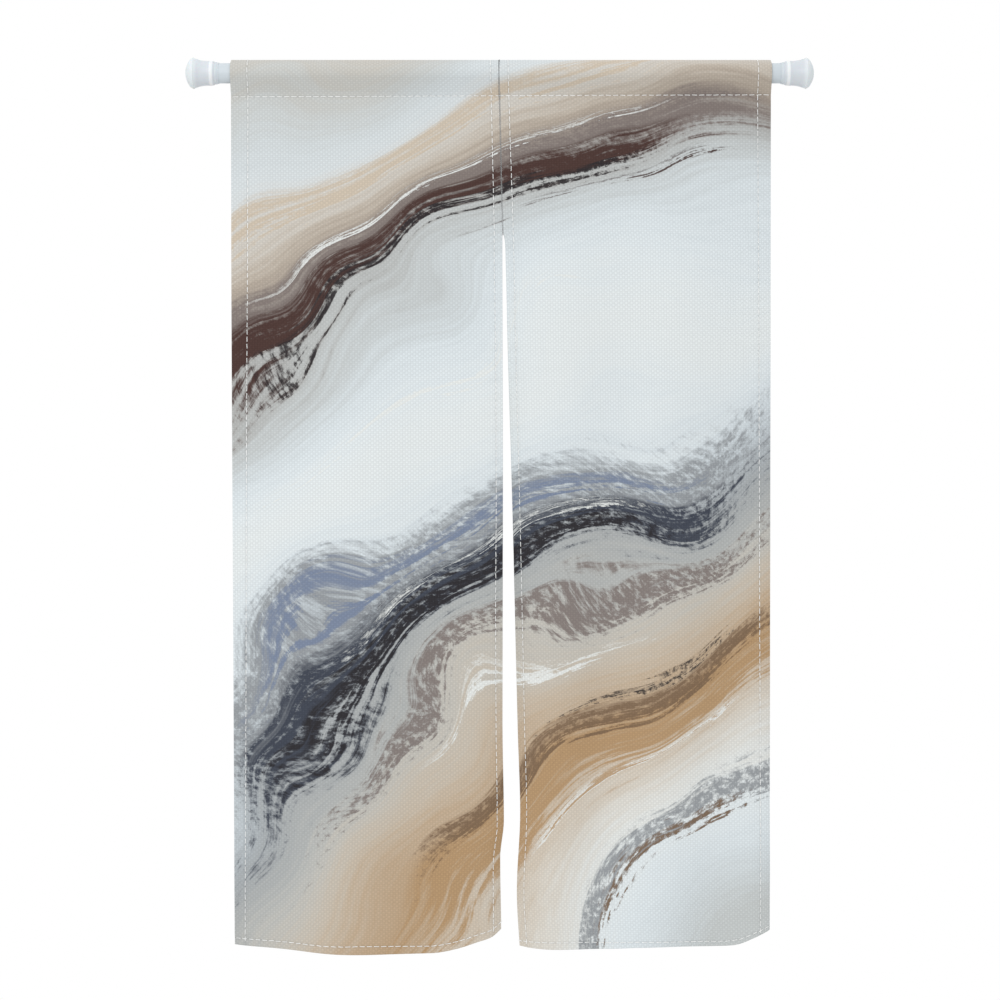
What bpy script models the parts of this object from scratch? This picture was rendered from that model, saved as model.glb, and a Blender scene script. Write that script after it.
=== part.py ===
"""A noren curtain on its tension rod: two hemmed cloth panels, sewn to each other above their slit.

Metres, +Z up, +X along the rod and -Y towards the viewer. The origin is the middle of the left
end cap's wall face, on the rod's axis.
"""

import math
from collections import namedtuple

import bmesh
import bpy
import numpy as np

# The tension rod, a plain tube with an end cap pushed over each end
ROD_SPAN = 1.004
ROD_RADIUS = 0.016
ROD_WALL = 0.0012
ROUND_SIDES = 40
PIECE_GAP = 0.0003

# An end cap. Its flat pad presses on the wall, and a part of a sphere runs from the pad's edge to
# the rim. Distances are from the wall face.
CAP_PAD_RADIUS = 0.0065
CAP_DOME_RADIUS = 0.0225
CAP_SPHERE_RADIUS = 0.034
CAP_DOME_STEPS = 5
CAP_SOCKET_END = 0.014
CAP_LENGTH = 0.053

# An end cap's outline from its dome on: rim, bell, sleeve, shoulder, groove and mouth
OutlinePoint = namedtuple("OutlinePoint", "distance radius")

CAP_OUTLINE = (
    OutlinePoint(0.0095, 0.0233),
    OutlinePoint(0.0110, 0.0244),
    OutlinePoint(0.0122, 0.0248),
    OutlinePoint(0.0132, 0.0245),
    OutlinePoint(0.0142, 0.0237),
    OutlinePoint(0.0185, 0.0223),
    OutlinePoint(0.0220, 0.0211),
    OutlinePoint(0.0265, 0.0202),
    OutlinePoint(0.0345, 0.0194),
    OutlinePoint(0.0393, 0.0197),
    OutlinePoint(0.0412, 0.0196),
    OutlinePoint(0.0445, 0.0190),
    OutlinePoint(0.0460, 0.0183),
    OutlinePoint(0.0472, 0.0175),
    OutlinePoint(0.0492, 0.0177),
    OutlinePoint(0.0508, 0.0170),
    OutlinePoint(0.0530, 0.0166),
)

# The cloth, cut and hemmed
CLOTH = 0.0012
PANEL_WIDTH = 0.432
POCKET_TOP = 0.0214
POCKET_STITCH = 0.0344
POCKET_TURNING = 0.008
POCKET_SLACK = 0.0006
BOTTOM_HEM = 0.0142
HEM_STEP = 0.0006
SLIT_START = 0.2586
NOMINAL_DROP = 1.410

# How finely the solids follow the folds
COLUMNS_BETWEEN_HEMS = 17
ROWS_BELOW_POCKET = 21
POCKET_LINE_STEPS = 2
POCKET_ARC_STEPS = 7
FINE_STEPS = 240

# How far a turned edge's curl reaches into the cloth, and a lifted corner's curl
CURL_REACH = 0.045
CORNER_REACH = 0.090

# One level of a hanging panel. Drop is below the rod's axis, and outer and inner are the panel's
# edges along X. The edges turn back by these degrees, the soft folds lean by theirs, and depth
# moves the whole level back.
Level = namedtuple("Level", "drop outer inner outer_turn inner_turn fold_turn depth")

LEFT_LEVELS = (
    Level(POCKET_STITCH, 0.0721, 0.5015, 0, 0, 0, 0.000),
    Level(0.2586, 0.0721, 0.5067, 9, 3, 3, -0.001),
    Level(0.2650, 0.0721, 0.5064, 9, 3, 3, -0.001),
    Level(0.6826, 0.0735, 0.5074, 21, 15, 6, -0.005),
    Level(1.0666, 0.0742, 0.5069, 32, 22, 9, -0.003),
    Level(1.2266, 0.0740, 0.5092, 36, 24, 10, 0.001),
    Level(1.2900, 0.0738, 0.5033, 38, 25, 11, 0.003),
    Level(1.4100, 0.0737, 0.5051, 41, 26, 12, 0.007),
)
RIGHT_LEVELS = (
    Level(POCKET_STITCH, 0.9360, 0.5019, 0, 0, 0, 0.000),
    Level(0.2586, 0.9360, 0.5073, 7, 4, 3, -0.001),
    Level(0.2650, 0.9360, 0.5096, 7, 4, 3, -0.001),
    Level(0.3100, 0.9361, 0.5117, 9, 8, 4, -0.001),
    Level(0.4266, 0.9364, 0.5142, 13, 14, 5, 0.000),
    Level(0.6826, 0.9367, 0.5216, 20, 22, 8, 0.003),
    Level(1.0666, 0.9364, 0.5308, 30, 28, 12, 0.001),
    Level(1.1946, 0.9359, 0.5345, 33, 30, 13, -0.002),
    Level(1.3226, 0.9365, 0.5291, 37, 30, 14, -0.006),
    Level(1.4100, 0.9372, 0.5334, 39, 30, 15, -0.008),
)

# The bottom edge, from a panel's outer edge (share 0) to its inner edge (share 1)
EdgePoint = namedtuple("EdgePoint", "share drop")

LEFT_BOTTOM = (
    EdgePoint(0.000, 1.4005),
    EdgePoint(0.215, 1.4032),
    EdgePoint(0.405, 1.4094),
    EdgePoint(0.560, 1.4110),
    EdgePoint(0.740, 1.4102),
    EdgePoint(0.830, 1.4037),
    EdgePoint(0.910, 1.3930),
    EdgePoint(0.965, 1.3854),
    EdgePoint(1.000, 1.3740),
)
RIGHT_BOTTOM = (
    EdgePoint(0.000, 1.3745),
    EdgePoint(0.075, 1.3865),
    EdgePoint(0.130, 1.3949),
    EdgePoint(0.190, 1.3970),
    EdgePoint(0.390, 1.3944),
    EdgePoint(0.520, 1.3965),
    EdgePoint(0.640, 1.3999),
    EdgePoint(0.830, 1.3997),
    EdgePoint(0.900, 1.3992),
    EdgePoint(1.000, 1.3978),
)

# A panel. Inward is +1 where its inner edge lies towards +X. Its soft folds are counted across
# its width from a starting phase, and drift sideways by a share of a fold down its length. The
# lifted corner is the share where the bottom edge curls back, and by how much.
Panel = namedtuple(
    "Panel",
    "name inward outer_hem inner_hem levels bottom folds fold_phase fold_drift "
    "corner_share corner_back",
)
PANELS = (
    Panel(
        name="panel_left",
        inward=1,
        outer_hem=0.0290,
        inner_hem=0.0146,
        levels=LEFT_LEVELS,
        bottom=LEFT_BOTTOM,
        folds=1.7,
        fold_phase=0.10,
        fold_drift=0.25,
        corner_share=1.0,
        corner_back=0.016,
    ),
    Panel(
        name="panel_right",
        inward=-1,
        outer_hem=0.0228,
        inner_hem=0.0166,
        levels=RIGHT_LEVELS,
        bottom=RIGHT_BOTTOM,
        folds=2.3,
        fold_phase=0.30,
        fold_drift=-0.30,
        corner_share=0.0,
        corner_back=0.014,
    ),
)

CLOTH_COLOUR = (0.70, 0.66, 0.59, 1.0)
ROD_COLOUR = (0.80, 0.83, 0.86, 1.0)
CAP_COLOUR = (0.86, 0.88, 0.91, 1.0)


def clear_scene():
    for thing in list(bpy.data.objects):
        bpy.data.objects.remove(thing)


def make_material(name, colour, roughness):
    material = bpy.data.materials.new(name)
    material.use_nodes = True
    shader = material.node_tree.nodes["Principled BSDF"]
    shader.inputs["Base Color"].default_value = colour
    shader.inputs["Roughness"].default_value = roughness
    shader.inputs["Metallic"].default_value = 0.0
    return material


def make_object(name, mesh, material):
    made = bpy.data.objects.new(name, mesh)
    mesh.materials.append(material)
    bpy.context.scene.collection.objects.link(made)
    return made


def smooth_through(places, values, at):
    """A smooth curve through the values at these places, which doesn't overshoot them."""
    places, values, at = (np.asarray(v, float) for v in (places, values, at))
    secants = np.diff(values) / np.diff(places)
    slopes = np.concatenate([secants[:1], (secants[:-1] + secants[1:]) / 2, secants[-1:]])
    turning = np.concatenate([[False], secants[:-1] * secants[1:] <= 0, [False]])
    slopes[turning] = 0.0
    steepest = 3 * np.minimum(
        np.abs(np.concatenate([secants[:1], secants])),
        np.abs(np.concatenate([secants, secants[-1:]])),
    )
    slopes = np.clip(slopes, -steepest, steepest)
    span = np.clip(np.searchsorted(places, at) - 1, 0, len(secants) - 1)
    width = places[span + 1] - places[span]
    t = np.clip((at - places[span]) / width, 0.0, 1.0)
    start = values[span] * (1 + 2 * t) * (1 - t) ** 2 + slopes[span] * width * t * (1 - t) ** 2
    end = values[span + 1] * t**2 * (3 - 2 * t) + slopes[span + 1] * width * t**2 * (t - 1)
    return start + end


def level_at(panel, drop):
    """The panel's level at any drop, as a Level."""
    drops = [level.drop for level in panel.levels]
    level = Level(*(float(smooth_through(drops, column, drop)) for column in zip(*panel.levels)))
    if drop < SLIT_START:
        # Above the slit both panels follow one straight seam.
        seam = np.interp(drop, drops[:2], [level.inner for level in panel.levels[:2]])
        level = level._replace(inner=float(seam))
    return level


def across(panel, drop):
    """X, Y and lean of the panel at this drop, at FINE_STEPS + 1 even places across its cut width."""
    level = level_at(panel, drop)
    width = np.linspace(0.0, PANEL_WIDTH, FINE_STEPS + 1)
    share = width / PANEL_WIDTH
    phase = panel.fold_phase + panel.fold_drift * drop / NOMINAL_DROP
    lean = np.radians(
        level.fold_turn * np.sin(2 * math.pi * (panel.folds * share + phase))
        - level.outer_turn * np.exp(-width / CURL_REACH)
        + level.inner_turn * np.exp((width - PANEL_WIDTH) / CURL_REACH)
    )
    middle = (lean[1:] + lean[:-1]) / 2
    run = np.concatenate([[0.0], np.cumsum(np.cos(middle))])
    x = level.outer + (level.inner - level.outer) * run / run[-1]
    y = np.concatenate([[0.0], np.cumsum(np.sin(middle))]) * PANEL_WIDTH / FINE_STEPS
    y = y - y.mean() + level.depth
    # Above the slit the two panels are sewn edge to edge, so their inner edges keep one depth.
    joined = min(1.0, max(0.0, (2 * SLIT_START - drop) / SLIT_START))
    y = y - joined * y[-1] * share**2
    return x, y, lean


def drop_below_pocket(panel, share, part):
    """How far below the rod's axis the cloth is at a part (0 to 1) of its way to the bottom edge."""
    edge = [point.drop for point in panel.bottom]
    end = smooth_through([point.share for point in panel.bottom], edge, share)
    return POCKET_STITCH + part * (end - POCKET_STITCH)


def column_widths(panel):
    """Places across the cut width, with a pair at each hem's step."""
    first, last = panel.outer_hem, PANEL_WIDTH - panel.inner_hem
    half = HEM_STEP / 2
    between = np.linspace(first + half, last - half, COLUMNS_BETWEEN_HEMS)
    return np.concatenate([[0.0, first - half], between, [last + half, PANEL_WIDTH]])


def side_layers(panel, width):
    """2 where a side hem doubles the cloth, otherwise 1."""
    return 2 if width < panel.outer_hem or width > PANEL_WIDTH - panel.inner_hem else 1


def row_parts():
    """Parts of the way down from the pocket's stitch line, with a pair at each step."""
    whole = NOMINAL_DROP - POCKET_STITCH
    turning, hem, half = POCKET_TURNING / whole, 1 - BOTTOM_HEM / whole, HEM_STEP / 2 / whole
    between = np.linspace(turning + half, hem - half, ROWS_BELOW_POCKET)
    return np.concatenate([[0.0, turning - half], between, [hem + half, 1.0]])


def row_layers(part):
    """2 where the pocket's turning or the bottom hem doubles the cloth, otherwise 1."""
    whole = NOMINAL_DROP - POCKET_STITCH
    return 2 if part < POCKET_TURNING / whole or part > 1 - BOTTOM_HEM / whole else 1


def hanging_rungs(panel, widths):
    """For each row below the pocket, from the stitch line down: its front and its back points."""
    fine = np.linspace(0.0, PANEL_WIDTH, FINE_STEPS + 1)
    corner_width = panel.corner_share * PANEL_WIDTH
    rungs = []
    for part in row_parts():
        x, y, lean = across(panel, POCKET_STITCH + part * (NOMINAL_DROP - POCKET_STITCH))
        x, y, lean = (np.interp(widths, fine, values) for values in (x, y, lean))
        drop = drop_below_pocket(panel, widths / PANEL_WIDTH, part)
        above = (1 - part) * NOMINAL_DROP
        from_corner = np.hypot(widths - corner_width, above)
        y = y + panel.corner_back * np.exp(-((from_corner / CORNER_REACH) ** 2)) - CLOTH
        layers = np.array([side_layers(panel, w) for w in widths]) * row_layers(part)
        front = np.stack([x, y, -drop], axis=1)
        back = front + np.stack(
            [
                -panel.inward * np.sin(lean) * layers * CLOTH,
                np.cos(lean) * layers * CLOTH,
                np.zeros(len(widths)),
            ],
            axis=1,
        )
        rungs.append((front, back))
    return rungs


def pocket_half(start_y, thickness, facing):
    """(outer, inner) points in the YZ plane up one side of the rod, from the stitch line to the ridge.

    Facing is -1 for the front and 1 for the back. The cloth runs straight to the rod, round it,
    and straight on to the pressed ridge above it.
    """
    radius = ROD_RADIUS + POCKET_SLACK + 2 * CLOTH
    reach = math.hypot(start_y, POCKET_STITCH)
    below = math.atan2(-POCKET_STITCH, facing * start_y) + math.acos(radius / reach)
    above = math.pi / 2 - math.acos(radius / POCKET_TOP)
    touch = radius * math.cos(below), radius * math.sin(below)
    leave = radius * math.cos(above), radius * math.sin(above)
    path = []
    for step in range(1, POCKET_LINE_STEPS + 1):
        share = step / (POCKET_LINE_STEPS + 1)
        point = (
            facing * start_y + (touch[0] - facing * start_y) * share,
            -POCKET_STITCH + (touch[1] + POCKET_STITCH) * share,
        )
        path.append((point, below))
    for step in range(POCKET_ARC_STEPS + 1):
        angle = below + (above - below) * step / POCKET_ARC_STEPS
        path.append(((radius * math.cos(angle), radius * math.sin(angle)), angle))
    path.append(((leave[0] / 2, (leave[1] + POCKET_TOP) / 2), above))
    outer = [(facing * y, z) for (y, z), _ in path]
    inner = [
        (facing * (y - thickness * math.cos(angle)), z - thickness * math.sin(angle))
        for (y, z), angle in path
    ]
    return outer, inner


def pocket_section(thickness):
    """(outer, inner) points in the YZ plane round the whole pocket, the stitch line left out."""
    front, front_inner = pocket_half(-CLOTH, thickness, -1)
    back, back_inner = pocket_half(2 * thickness - CLOTH, thickness, 1)
    radius = ROD_RADIUS + POCKET_SLACK + 2 * CLOTH
    ridge_inner = POCKET_TOP - thickness * POCKET_TOP / radius
    outer = front + [(0.0, POCKET_TOP)] + back[::-1]
    inner = front_inner + [(0.0, ridge_inner)] + back_inner[::-1]
    return outer, inner


def pocket_contours(panel, widths):
    """For each column: the pocket's outer points, its inner points and where its layers meet."""
    top, slit = panel.levels[:2]
    seam_slope = (slit.inner - top.inner) / (SLIT_START - POCKET_STITCH)
    outer_sides, inner_sides, joins = [], [], []
    for width in widths:
        thickness = side_layers(panel, width) * CLOTH
        share = width / PANEL_WIDTH

        def placed(points):
            return [
                (
                    top.outer
                    + (top.inner - seam_slope * (z + POCKET_STITCH) - top.outer) * share,
                    y,
                    z,
                )
                for y, z in points
            ]

        outer, inner = pocket_section(thickness)
        outer_sides.append(placed(outer))
        inner_sides.append(placed(inner))
        joins.append(placed([(thickness - CLOTH, -POCKET_STITCH + thickness)])[0])
    return outer_sides, inner_sides, joins


def panel_mesh(panel):
    """One closed solid: the hanging cloth, and above its stitch line the loop round the rod."""
    widths = column_widths(panel)
    rungs = hanging_rungs(panel, widths)
    outer_sides, inner_sides, joins = pocket_contours(panel, widths)
    shape = bmesh.new()
    outer_loops, inner_loops = [], []
    for column in range(len(widths)):
        front = [rung[0][column] for rung in rungs[::-1]]
        back = [rung[1][column] for rung in rungs]
        outer = front + outer_sides[column] + back
        inner = [joins[column]] + inner_sides[column]
        outer_loops.append([shape.verts.new(point) for point in outer])
        inner_loops.append([shape.verts.new(point) for point in inner])
    for loops in (outer_loops, inner_loops):
        for near, far in zip(loops[:-1], loops[1:]):
            for k in range(len(near)):
                after = (k + 1) % len(near)
                shape.faces.new((near[k], near[after], far[after], far[k]))
    for outer, inner in ((outer_loops[0], inner_loops[0]), (outer_loops[-1], inner_loops[-1])):
        close_side(shape, outer, inner, len(rungs))
    bmesh.ops.triangulate(shape, faces=shape.faces[:])
    bmesh.ops.recalc_face_normals(shape, faces=shape.faces[:])
    mesh = bpy.data.meshes.new(panel.name)
    shape.to_mesh(mesh)
    shape.free()
    return mesh


def close_side(shape, outer, inner, rows):
    """Faces that close a side edge of the panel: its hanging strip, then the loop of the pocket."""
    front = outer[:rows]
    back = outer[-rows:][::-1]
    for k in range(rows - 2):
        shape.faces.new((front[k], front[k + 1], back[k + 1], back[k]))
    join = inner[0]
    shape.faces.new((front[-2], front[-1], join, back[-1], back[-2]))
    loop_outer = outer[rows - 1 : len(outer) - rows + 1]
    loop_inner = [join] + inner[1:] + [join]
    for k in range(len(loop_outer) - 1):
        corners = [loop_outer[k], loop_outer[k + 1], loop_inner[k + 1], loop_inner[k]]
        shape.faces.new(corners)


def turned_object(name, profile, material, closed):
    """A profile of (distance along the rod, radius) points turned round the rod's axis."""
    shape = bmesh.new()
    points = [shape.verts.new((x, 0.0, radius)) for x, radius in profile]
    ends = points[1:] + points[:1] if closed else points[1:]
    edges = [shape.edges.new((near, far)) for near, far in zip(points, ends)]
    bmesh.ops.spin(
        shape,
        geom=points + edges,
        axis=(1.0, 0.0, 0.0),
        angle=2 * math.pi,
        steps=ROUND_SIDES,
        use_merge=True,
    )
    bmesh.ops.remove_doubles(shape, verts=shape.verts[:], dist=0.00001)
    bmesh.ops.recalc_face_normals(shape, faces=shape.faces[:])
    mesh = bpy.data.meshes.new(name)
    shape.to_mesh(mesh)
    shape.free()
    return make_object(name, mesh, material)


def make_rod(material):
    """The tube, open at both ends inside its caps."""
    first = CAP_SOCKET_END + PIECE_GAP
    last = ROD_SPAN - first
    inside = ROD_RADIUS - ROD_WALL
    profile = [(last, inside), (last, ROD_RADIUS), (first, ROD_RADIUS), (first, inside)]
    return turned_object("rod_tube", profile, material, True)


def cap_profile():
    """(distance from the wall face, radius) points, from the face's middle round to the socket's."""
    bore = ROD_RADIUS + PIECE_GAP
    pad = math.sqrt(CAP_SPHERE_RADIUS**2 - CAP_PAD_RADIUS**2)
    dome = [
        (pad - math.sqrt(CAP_SPHERE_RADIUS**2 - radius**2), float(radius))
        for radius in np.linspace(CAP_PAD_RADIUS, CAP_DOME_RADIUS, CAP_DOME_STEPS + 1)
    ]
    socket = [(CAP_LENGTH, bore), (CAP_SOCKET_END, bore), (CAP_SOCKET_END, 0.0)]
    return [(0.0, 0.0)] + dome + [tuple(point) for point in CAP_OUTLINE] + socket


def make_cap(name, material, at_left):
    """An end cap: wall pad, dome, flared bell, shoulder and socket, in one moulding."""
    profile = cap_profile()
    if not at_left:
        profile = [(ROD_SPAN - x, radius) for x, radius in profile]
    return turned_object(name, profile, material, False)


def main():
    clear_scene()
    cloth = make_material("printed_cloth", CLOTH_COLOUR, 0.9)
    enamel = make_material("white_enamel", ROD_COLOUR, 0.35)
    plastic = make_material("white_plastic", CAP_COLOUR, 0.4)
    for panel in PANELS:
        make_object(panel.name, panel_mesh(panel), cloth)
    for made in (
        make_rod(enamel),
        make_cap("end_cap_left", plastic, True),
        make_cap("end_cap_right", plastic, False),
    ):
        made.data.shade_smooth()


main()
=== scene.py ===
"""Dresses a noren curtain on its tension rod: woven, printed and hemmed panels, sewing and rod.

Lengths are in metres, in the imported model's frame: the origin is the middle of the left end cap's
wall face, +X runs along the rod, -Y points to the viewer and +Z up. On the cloth itself, width is
counted from a panel's outer edge to its inner edge, and drop is counted down from the rod's axis.
"""

import math
from collections import namedtuple
from functools import partial

import bmesh
import bpy
import numpy as np
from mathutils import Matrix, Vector


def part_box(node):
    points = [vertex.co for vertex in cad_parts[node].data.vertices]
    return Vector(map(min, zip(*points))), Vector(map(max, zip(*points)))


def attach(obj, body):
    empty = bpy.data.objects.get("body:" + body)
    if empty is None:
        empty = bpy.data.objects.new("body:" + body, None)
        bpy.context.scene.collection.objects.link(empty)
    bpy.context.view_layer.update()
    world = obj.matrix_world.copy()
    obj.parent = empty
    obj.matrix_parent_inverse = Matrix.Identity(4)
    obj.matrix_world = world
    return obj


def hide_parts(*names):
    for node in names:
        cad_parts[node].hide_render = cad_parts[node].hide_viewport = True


bl_info = {
    "name": "Noren curtain on a tension rod",
    "version": (1, 0, 0),
    "blender": (4, 5, 0),
    "location": "3D View > Sidebar > Noren",
    "description": "Makes a hemmed two-panel doorway curtain with its sewing, rod and studio",
    "category": "Add Mesh",
}

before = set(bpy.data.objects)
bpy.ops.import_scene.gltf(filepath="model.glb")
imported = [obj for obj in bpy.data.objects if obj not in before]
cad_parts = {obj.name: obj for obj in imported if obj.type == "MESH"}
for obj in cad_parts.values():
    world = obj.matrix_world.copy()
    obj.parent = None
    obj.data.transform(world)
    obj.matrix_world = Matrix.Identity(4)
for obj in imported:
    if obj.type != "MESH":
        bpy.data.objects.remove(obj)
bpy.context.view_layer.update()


def table(columns, *rows):
    """Rows of a table as named tuples, with the columns' names."""
    row_type = namedtuple("Row", columns)
    return [row_type(*row) for row in rows]

# The rod and its end caps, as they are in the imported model
ROD_START, ROD_END = (corner.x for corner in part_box("rod_tube"))
ROD_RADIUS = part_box("rod_tube")[1].z
ROD_WALL = 0.0012
ROD_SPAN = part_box("end_cap_right")[1].x
CAP_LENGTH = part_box("end_cap_left")[1].x
PIECE_GAP = 0.0003

# An end cap. Its flat pad presses on the wall, and a part of a sphere runs from the pad's edge to
# the rim. Distances are from the wall face.
CAP_PAD_RADIUS = 0.0065
CAP_DOME_RADIUS = 0.0225
CAP_SPHERE_RADIUS = 0.034
CAP_DOME_STEPS = 14
CAP_OUTLINE_STEPS = 72
CAP_SOCKET_END = 0.014
GRIP_RINGS = 3
GRIP_RING_DEPTH = 0.0004

# An end cap's outline from its dome on: rim, bell, sleeve, shoulder, groove and mouth
CAP_OUTLINE = table(
    "distance radius",
    (0.0095, 0.0233), (0.0110, 0.0244), (0.0122, 0.0248), (0.0132, 0.0245), (0.0142, 0.0237),
    (0.0185, 0.0223), (0.0220, 0.0211), (0.0265, 0.0202), (0.0345, 0.0194), (0.0393, 0.0197),
    (0.0412, 0.0196), (0.0445, 0.0190), (0.0460, 0.0183), (0.0472, 0.0175), (0.0492, 0.0177),
    (0.0508, 0.0170), (0.0530, 0.0166),
)

# The plastic's colour along an end cap: a dome and ring painted paler as highlights, and a collar as
# grey as the tube
CAP_TONES_AND_HIGHLIGHTS = table(
    "distance colour",
    (0.0125, "dome"), (0.0190, "plastic"), (0.0380, "plastic"), (0.0392, "ring"),
    (0.0430, "ring"), (0.0442, "plastic"), (0.0457, "plastic"), (0.0467, "collar"),
)

# The cloth, cut and hemmed
PANEL_WIDTH = 0.432
POCKET_TOP = 0.0214
POCKET_STITCH = 0.0344
POCKET_TURNING = 0.008
POCKET_SLACK = 0.0006
BOTTOM_HEM = 0.0142
HEM_STEP = 0.0006
SLIT_START = 0.2586
NOMINAL_DROP = 1.410
WHOLE_DROP = NOMINAL_DROP - POCKET_STITCH

# How far a turned edge's curl reaches into the cloth, and a lifted corner's curl
CURL_REACH = 0.045
CORNER_REACH = 0.090

# The cloth's small unevenness: slow ripples all over, by their radians a metre across and down,
# and puckers along the stitched hems. Both grow from nothing at the pocket, over this drop.
RIPPLE_DEPTH = 0.0006
RIPPLE_TURNS = ((31, 9), (-17, 13))
PUCKER_DEPTH = 0.0005
PUCKER_REACH = 0.013
PUCKER_PITCH = 0.0262
SMOOTH_DROP = 0.12

# How finely the cloth is meshed
FINE_STEPS = 240
HEM_PITCH = 0.0030
COLUMN_PITCH = 0.0055
ROW_PITCH = 0.0050
POCKET_LINE_STEPS = 4
POCKET_ARC_STEPS = 16
EDGE_ROUND_STEPS = 4
THINNEST_EDGE = 0.22

# Levels of the hanging panels. Drop is below the rod's axis, and outer and inner are a panel's
# edges along X. The edges turn back by these degrees, the soft folds lean by theirs, and depth
# moves the whole level back.
LEVEL_COLUMNS = "drop outer inner outer_turn inner_turn fold_turn depth"
LEFT_LEVELS = table(
    LEVEL_COLUMNS,
    (POCKET_STITCH, 0.0721, 0.5015, 0, 0, 0, 0.000),
    (0.2586, 0.0721, 0.5067, 9, 3, 3, -0.001),
    (0.2650, 0.0721, 0.5064, 9, 3, 3, -0.001),
    (0.6826, 0.0735, 0.5074, 21, 15, 6, -0.005),
    (1.0666, 0.0742, 0.5069, 32, 22, 9, -0.003),
    (1.2266, 0.0740, 0.5092, 36, 24, 10, 0.001),
    (1.2900, 0.0738, 0.5033, 38, 25, 11, 0.003),
    (1.4100, 0.0737, 0.5051, 41, 26, 12, 0.007),
)
RIGHT_LEVELS = table(
    LEVEL_COLUMNS,
    (POCKET_STITCH, 0.9360, 0.5019, 0, 0, 0, 0.000),
    (0.2586, 0.9360, 0.5073, 7, 4, 3, -0.001),
    (0.2650, 0.9360, 0.5096, 7, 4, 3, -0.001),
    (0.3100, 0.9361, 0.5117, 9, 8, 4, -0.001),
    (0.4266, 0.9364, 0.5142, 13, 14, 5, 0.000),
    (0.6826, 0.9367, 0.5216, 20, 22, 8, 0.003),
    (1.0666, 0.9364, 0.5308, 30, 28, 12, 0.001),
    (1.1946, 0.9359, 0.5345, 33, 30, 13, -0.002),
    (1.3226, 0.9365, 0.5291, 37, 30, 14, -0.006),
    (1.4100, 0.9372, 0.5334, 39, 30, 15, -0.008),
)

# A panel. Inward is +1 where its inner edge lies towards +X. Its bottom edge has these drops at
# shares of the width, from the outer edge (0) to the inner edge (1). Its soft folds are counted
# across its width from a starting phase, and drift sideways by a share of a fold down its length.
# The lifted corner is the share where the bottom edge curls back, and by how much. A side hem's
# stitch line lies this far in from its edge at each drop, and the bottom hem's rises this far
# above the bottom edge. The pocket's lies at these drops at the outer and at the inner edge.
Panel = namedtuple(
    "Panel",
    "name node inward outer_hem inner_hem levels bottom folds fold_phase fold_drift "
    "corner_share corner_back outer_stitch inner_stitch pocket_stitch hem_stitch",
)
PANELS = (
    Panel(
        name="cloth_panel_left",
        node="panel_left",
        inward=1,
        outer_hem=0.0290,
        inner_hem=0.0146,
        levels=LEFT_LEVELS,
        bottom=table(
            "share drop",
            (0.000, 1.4005), (0.215, 1.4032), (0.405, 1.4094), (0.560, 1.4110), (0.740, 1.4102),
            (0.830, 1.4037), (0.910, 1.3930), (0.965, 1.3854), (1.000, 1.3740),
        ),
        folds=1.7,
        fold_phase=0.10,
        fold_drift=0.25,
        corner_share=1.0,
        corner_back=0.016,
        outer_stitch=table(
            "drop inset",
            (0.000, 0.0276), (0.300, 0.0263), (0.600, 0.0238), (0.950, 0.0219), (1.410, 0.0198),
        ),
        inner_stitch=table(
            "drop inset",
            (0.000, 0.0132), (0.300, 0.0130), (0.430, 0.0113), (0.680, 0.0110), (0.850, 0.0119),
            (1.100, 0.0109), (1.220, 0.0119), (1.410, 0.0140),
        ),
        pocket_stitch=(0.0380, 0.0361),
        hem_stitch=table(
            "share rise",
            (0.00, 0.0112), (0.35, 0.0122), (0.48, 0.0140), (0.60, 0.0129), (0.72, 0.0117),
            (1.00, 0.0122),
        ),
    ),
    Panel(
        name="cloth_panel_right",
        node="panel_right",
        inward=-1,
        outer_hem=0.0228,
        inner_hem=0.0166,
        levels=RIGHT_LEVELS,
        bottom=table(
            "share drop",
            (0.000, 1.3745), (0.075, 1.3865), (0.130, 1.3949), (0.190, 1.3970), (0.390, 1.3944),
            (0.520, 1.3965), (0.640, 1.3999), (0.830, 1.3997), (0.900, 1.3992), (1.000, 1.3978),
        ),
        folds=2.3,
        fold_phase=0.30,
        fold_drift=-0.30,
        corner_share=0.0,
        corner_back=0.014,
        outer_stitch=table(
            "drop inset",
            (0.000, 0.0214), (0.300, 0.0200), (0.680, 0.0190), (1.200, 0.0180), (1.410, 0.0194),
        ),
        inner_stitch=table(
            "drop inset",
            (0.000, 0.0145), (0.090, 0.0150), (0.254, 0.0168), (0.272, 0.0137), (0.680, 0.0137),
            (0.940, 0.0145), (1.200, 0.0145), (1.410, 0.0166),
        ),
        pocket_stitch=(0.0347, 0.0358),
        hem_stitch=table(
            "share rise",
            (0.00, 0.0076), (0.40, 0.0079), (0.60, 0.0098), (0.75, 0.0114), (0.88, 0.0112),
            (1.00, 0.0085),
        ),
    ),
)

# The sewing. A stitch line is placed by points this far apart. Down a panel they begin again this
# far below the pocket, and across one they keep this far from its side edges. The topstitching and
# the seam stand up from the cloth by their rises.
GUIDE_PITCH = 0.005
BELOW_POCKET = 0.003
SIDE_MARGIN = 0.002
THREAD_RISE = 0.0002
SEAM_RISE = -0.0001
SEAM_SLANT = 0.30
SEAM_SEED = 40
THREAD_SIDES = 6
THREAD_STEPS = 7

# The middle of the pocket's section, below the rod's axis
POCKET_MIDDLE = 0.01

# The weave's crossings are rounded by one power and drawn out along the thread by the other, and
# their mean height is a share of the highest. Slubs are this often repeated in a metre of thread.
CROSSING_ROUND = 0.9
CROSSING_LONG = 0.35
MEAN_CROSSING = 0.56
SLUB_SCALE = 16.0
SLUB_RELIEF = 0.0002

# The groove that topstitching pulls into the cloth: how far it reaches, its painted shade and its
# bump's depth
GROOVE_REACH = 0.0030
GROOVE_PAINTED_SHADE = 0.10
GROOVE_DEPTH = 0.0004

# The print's broad arcs are swept round this point of the flat cloth, across and along it
SWEEP_CENTRE = (1.22, 1.98, 0.0)

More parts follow.
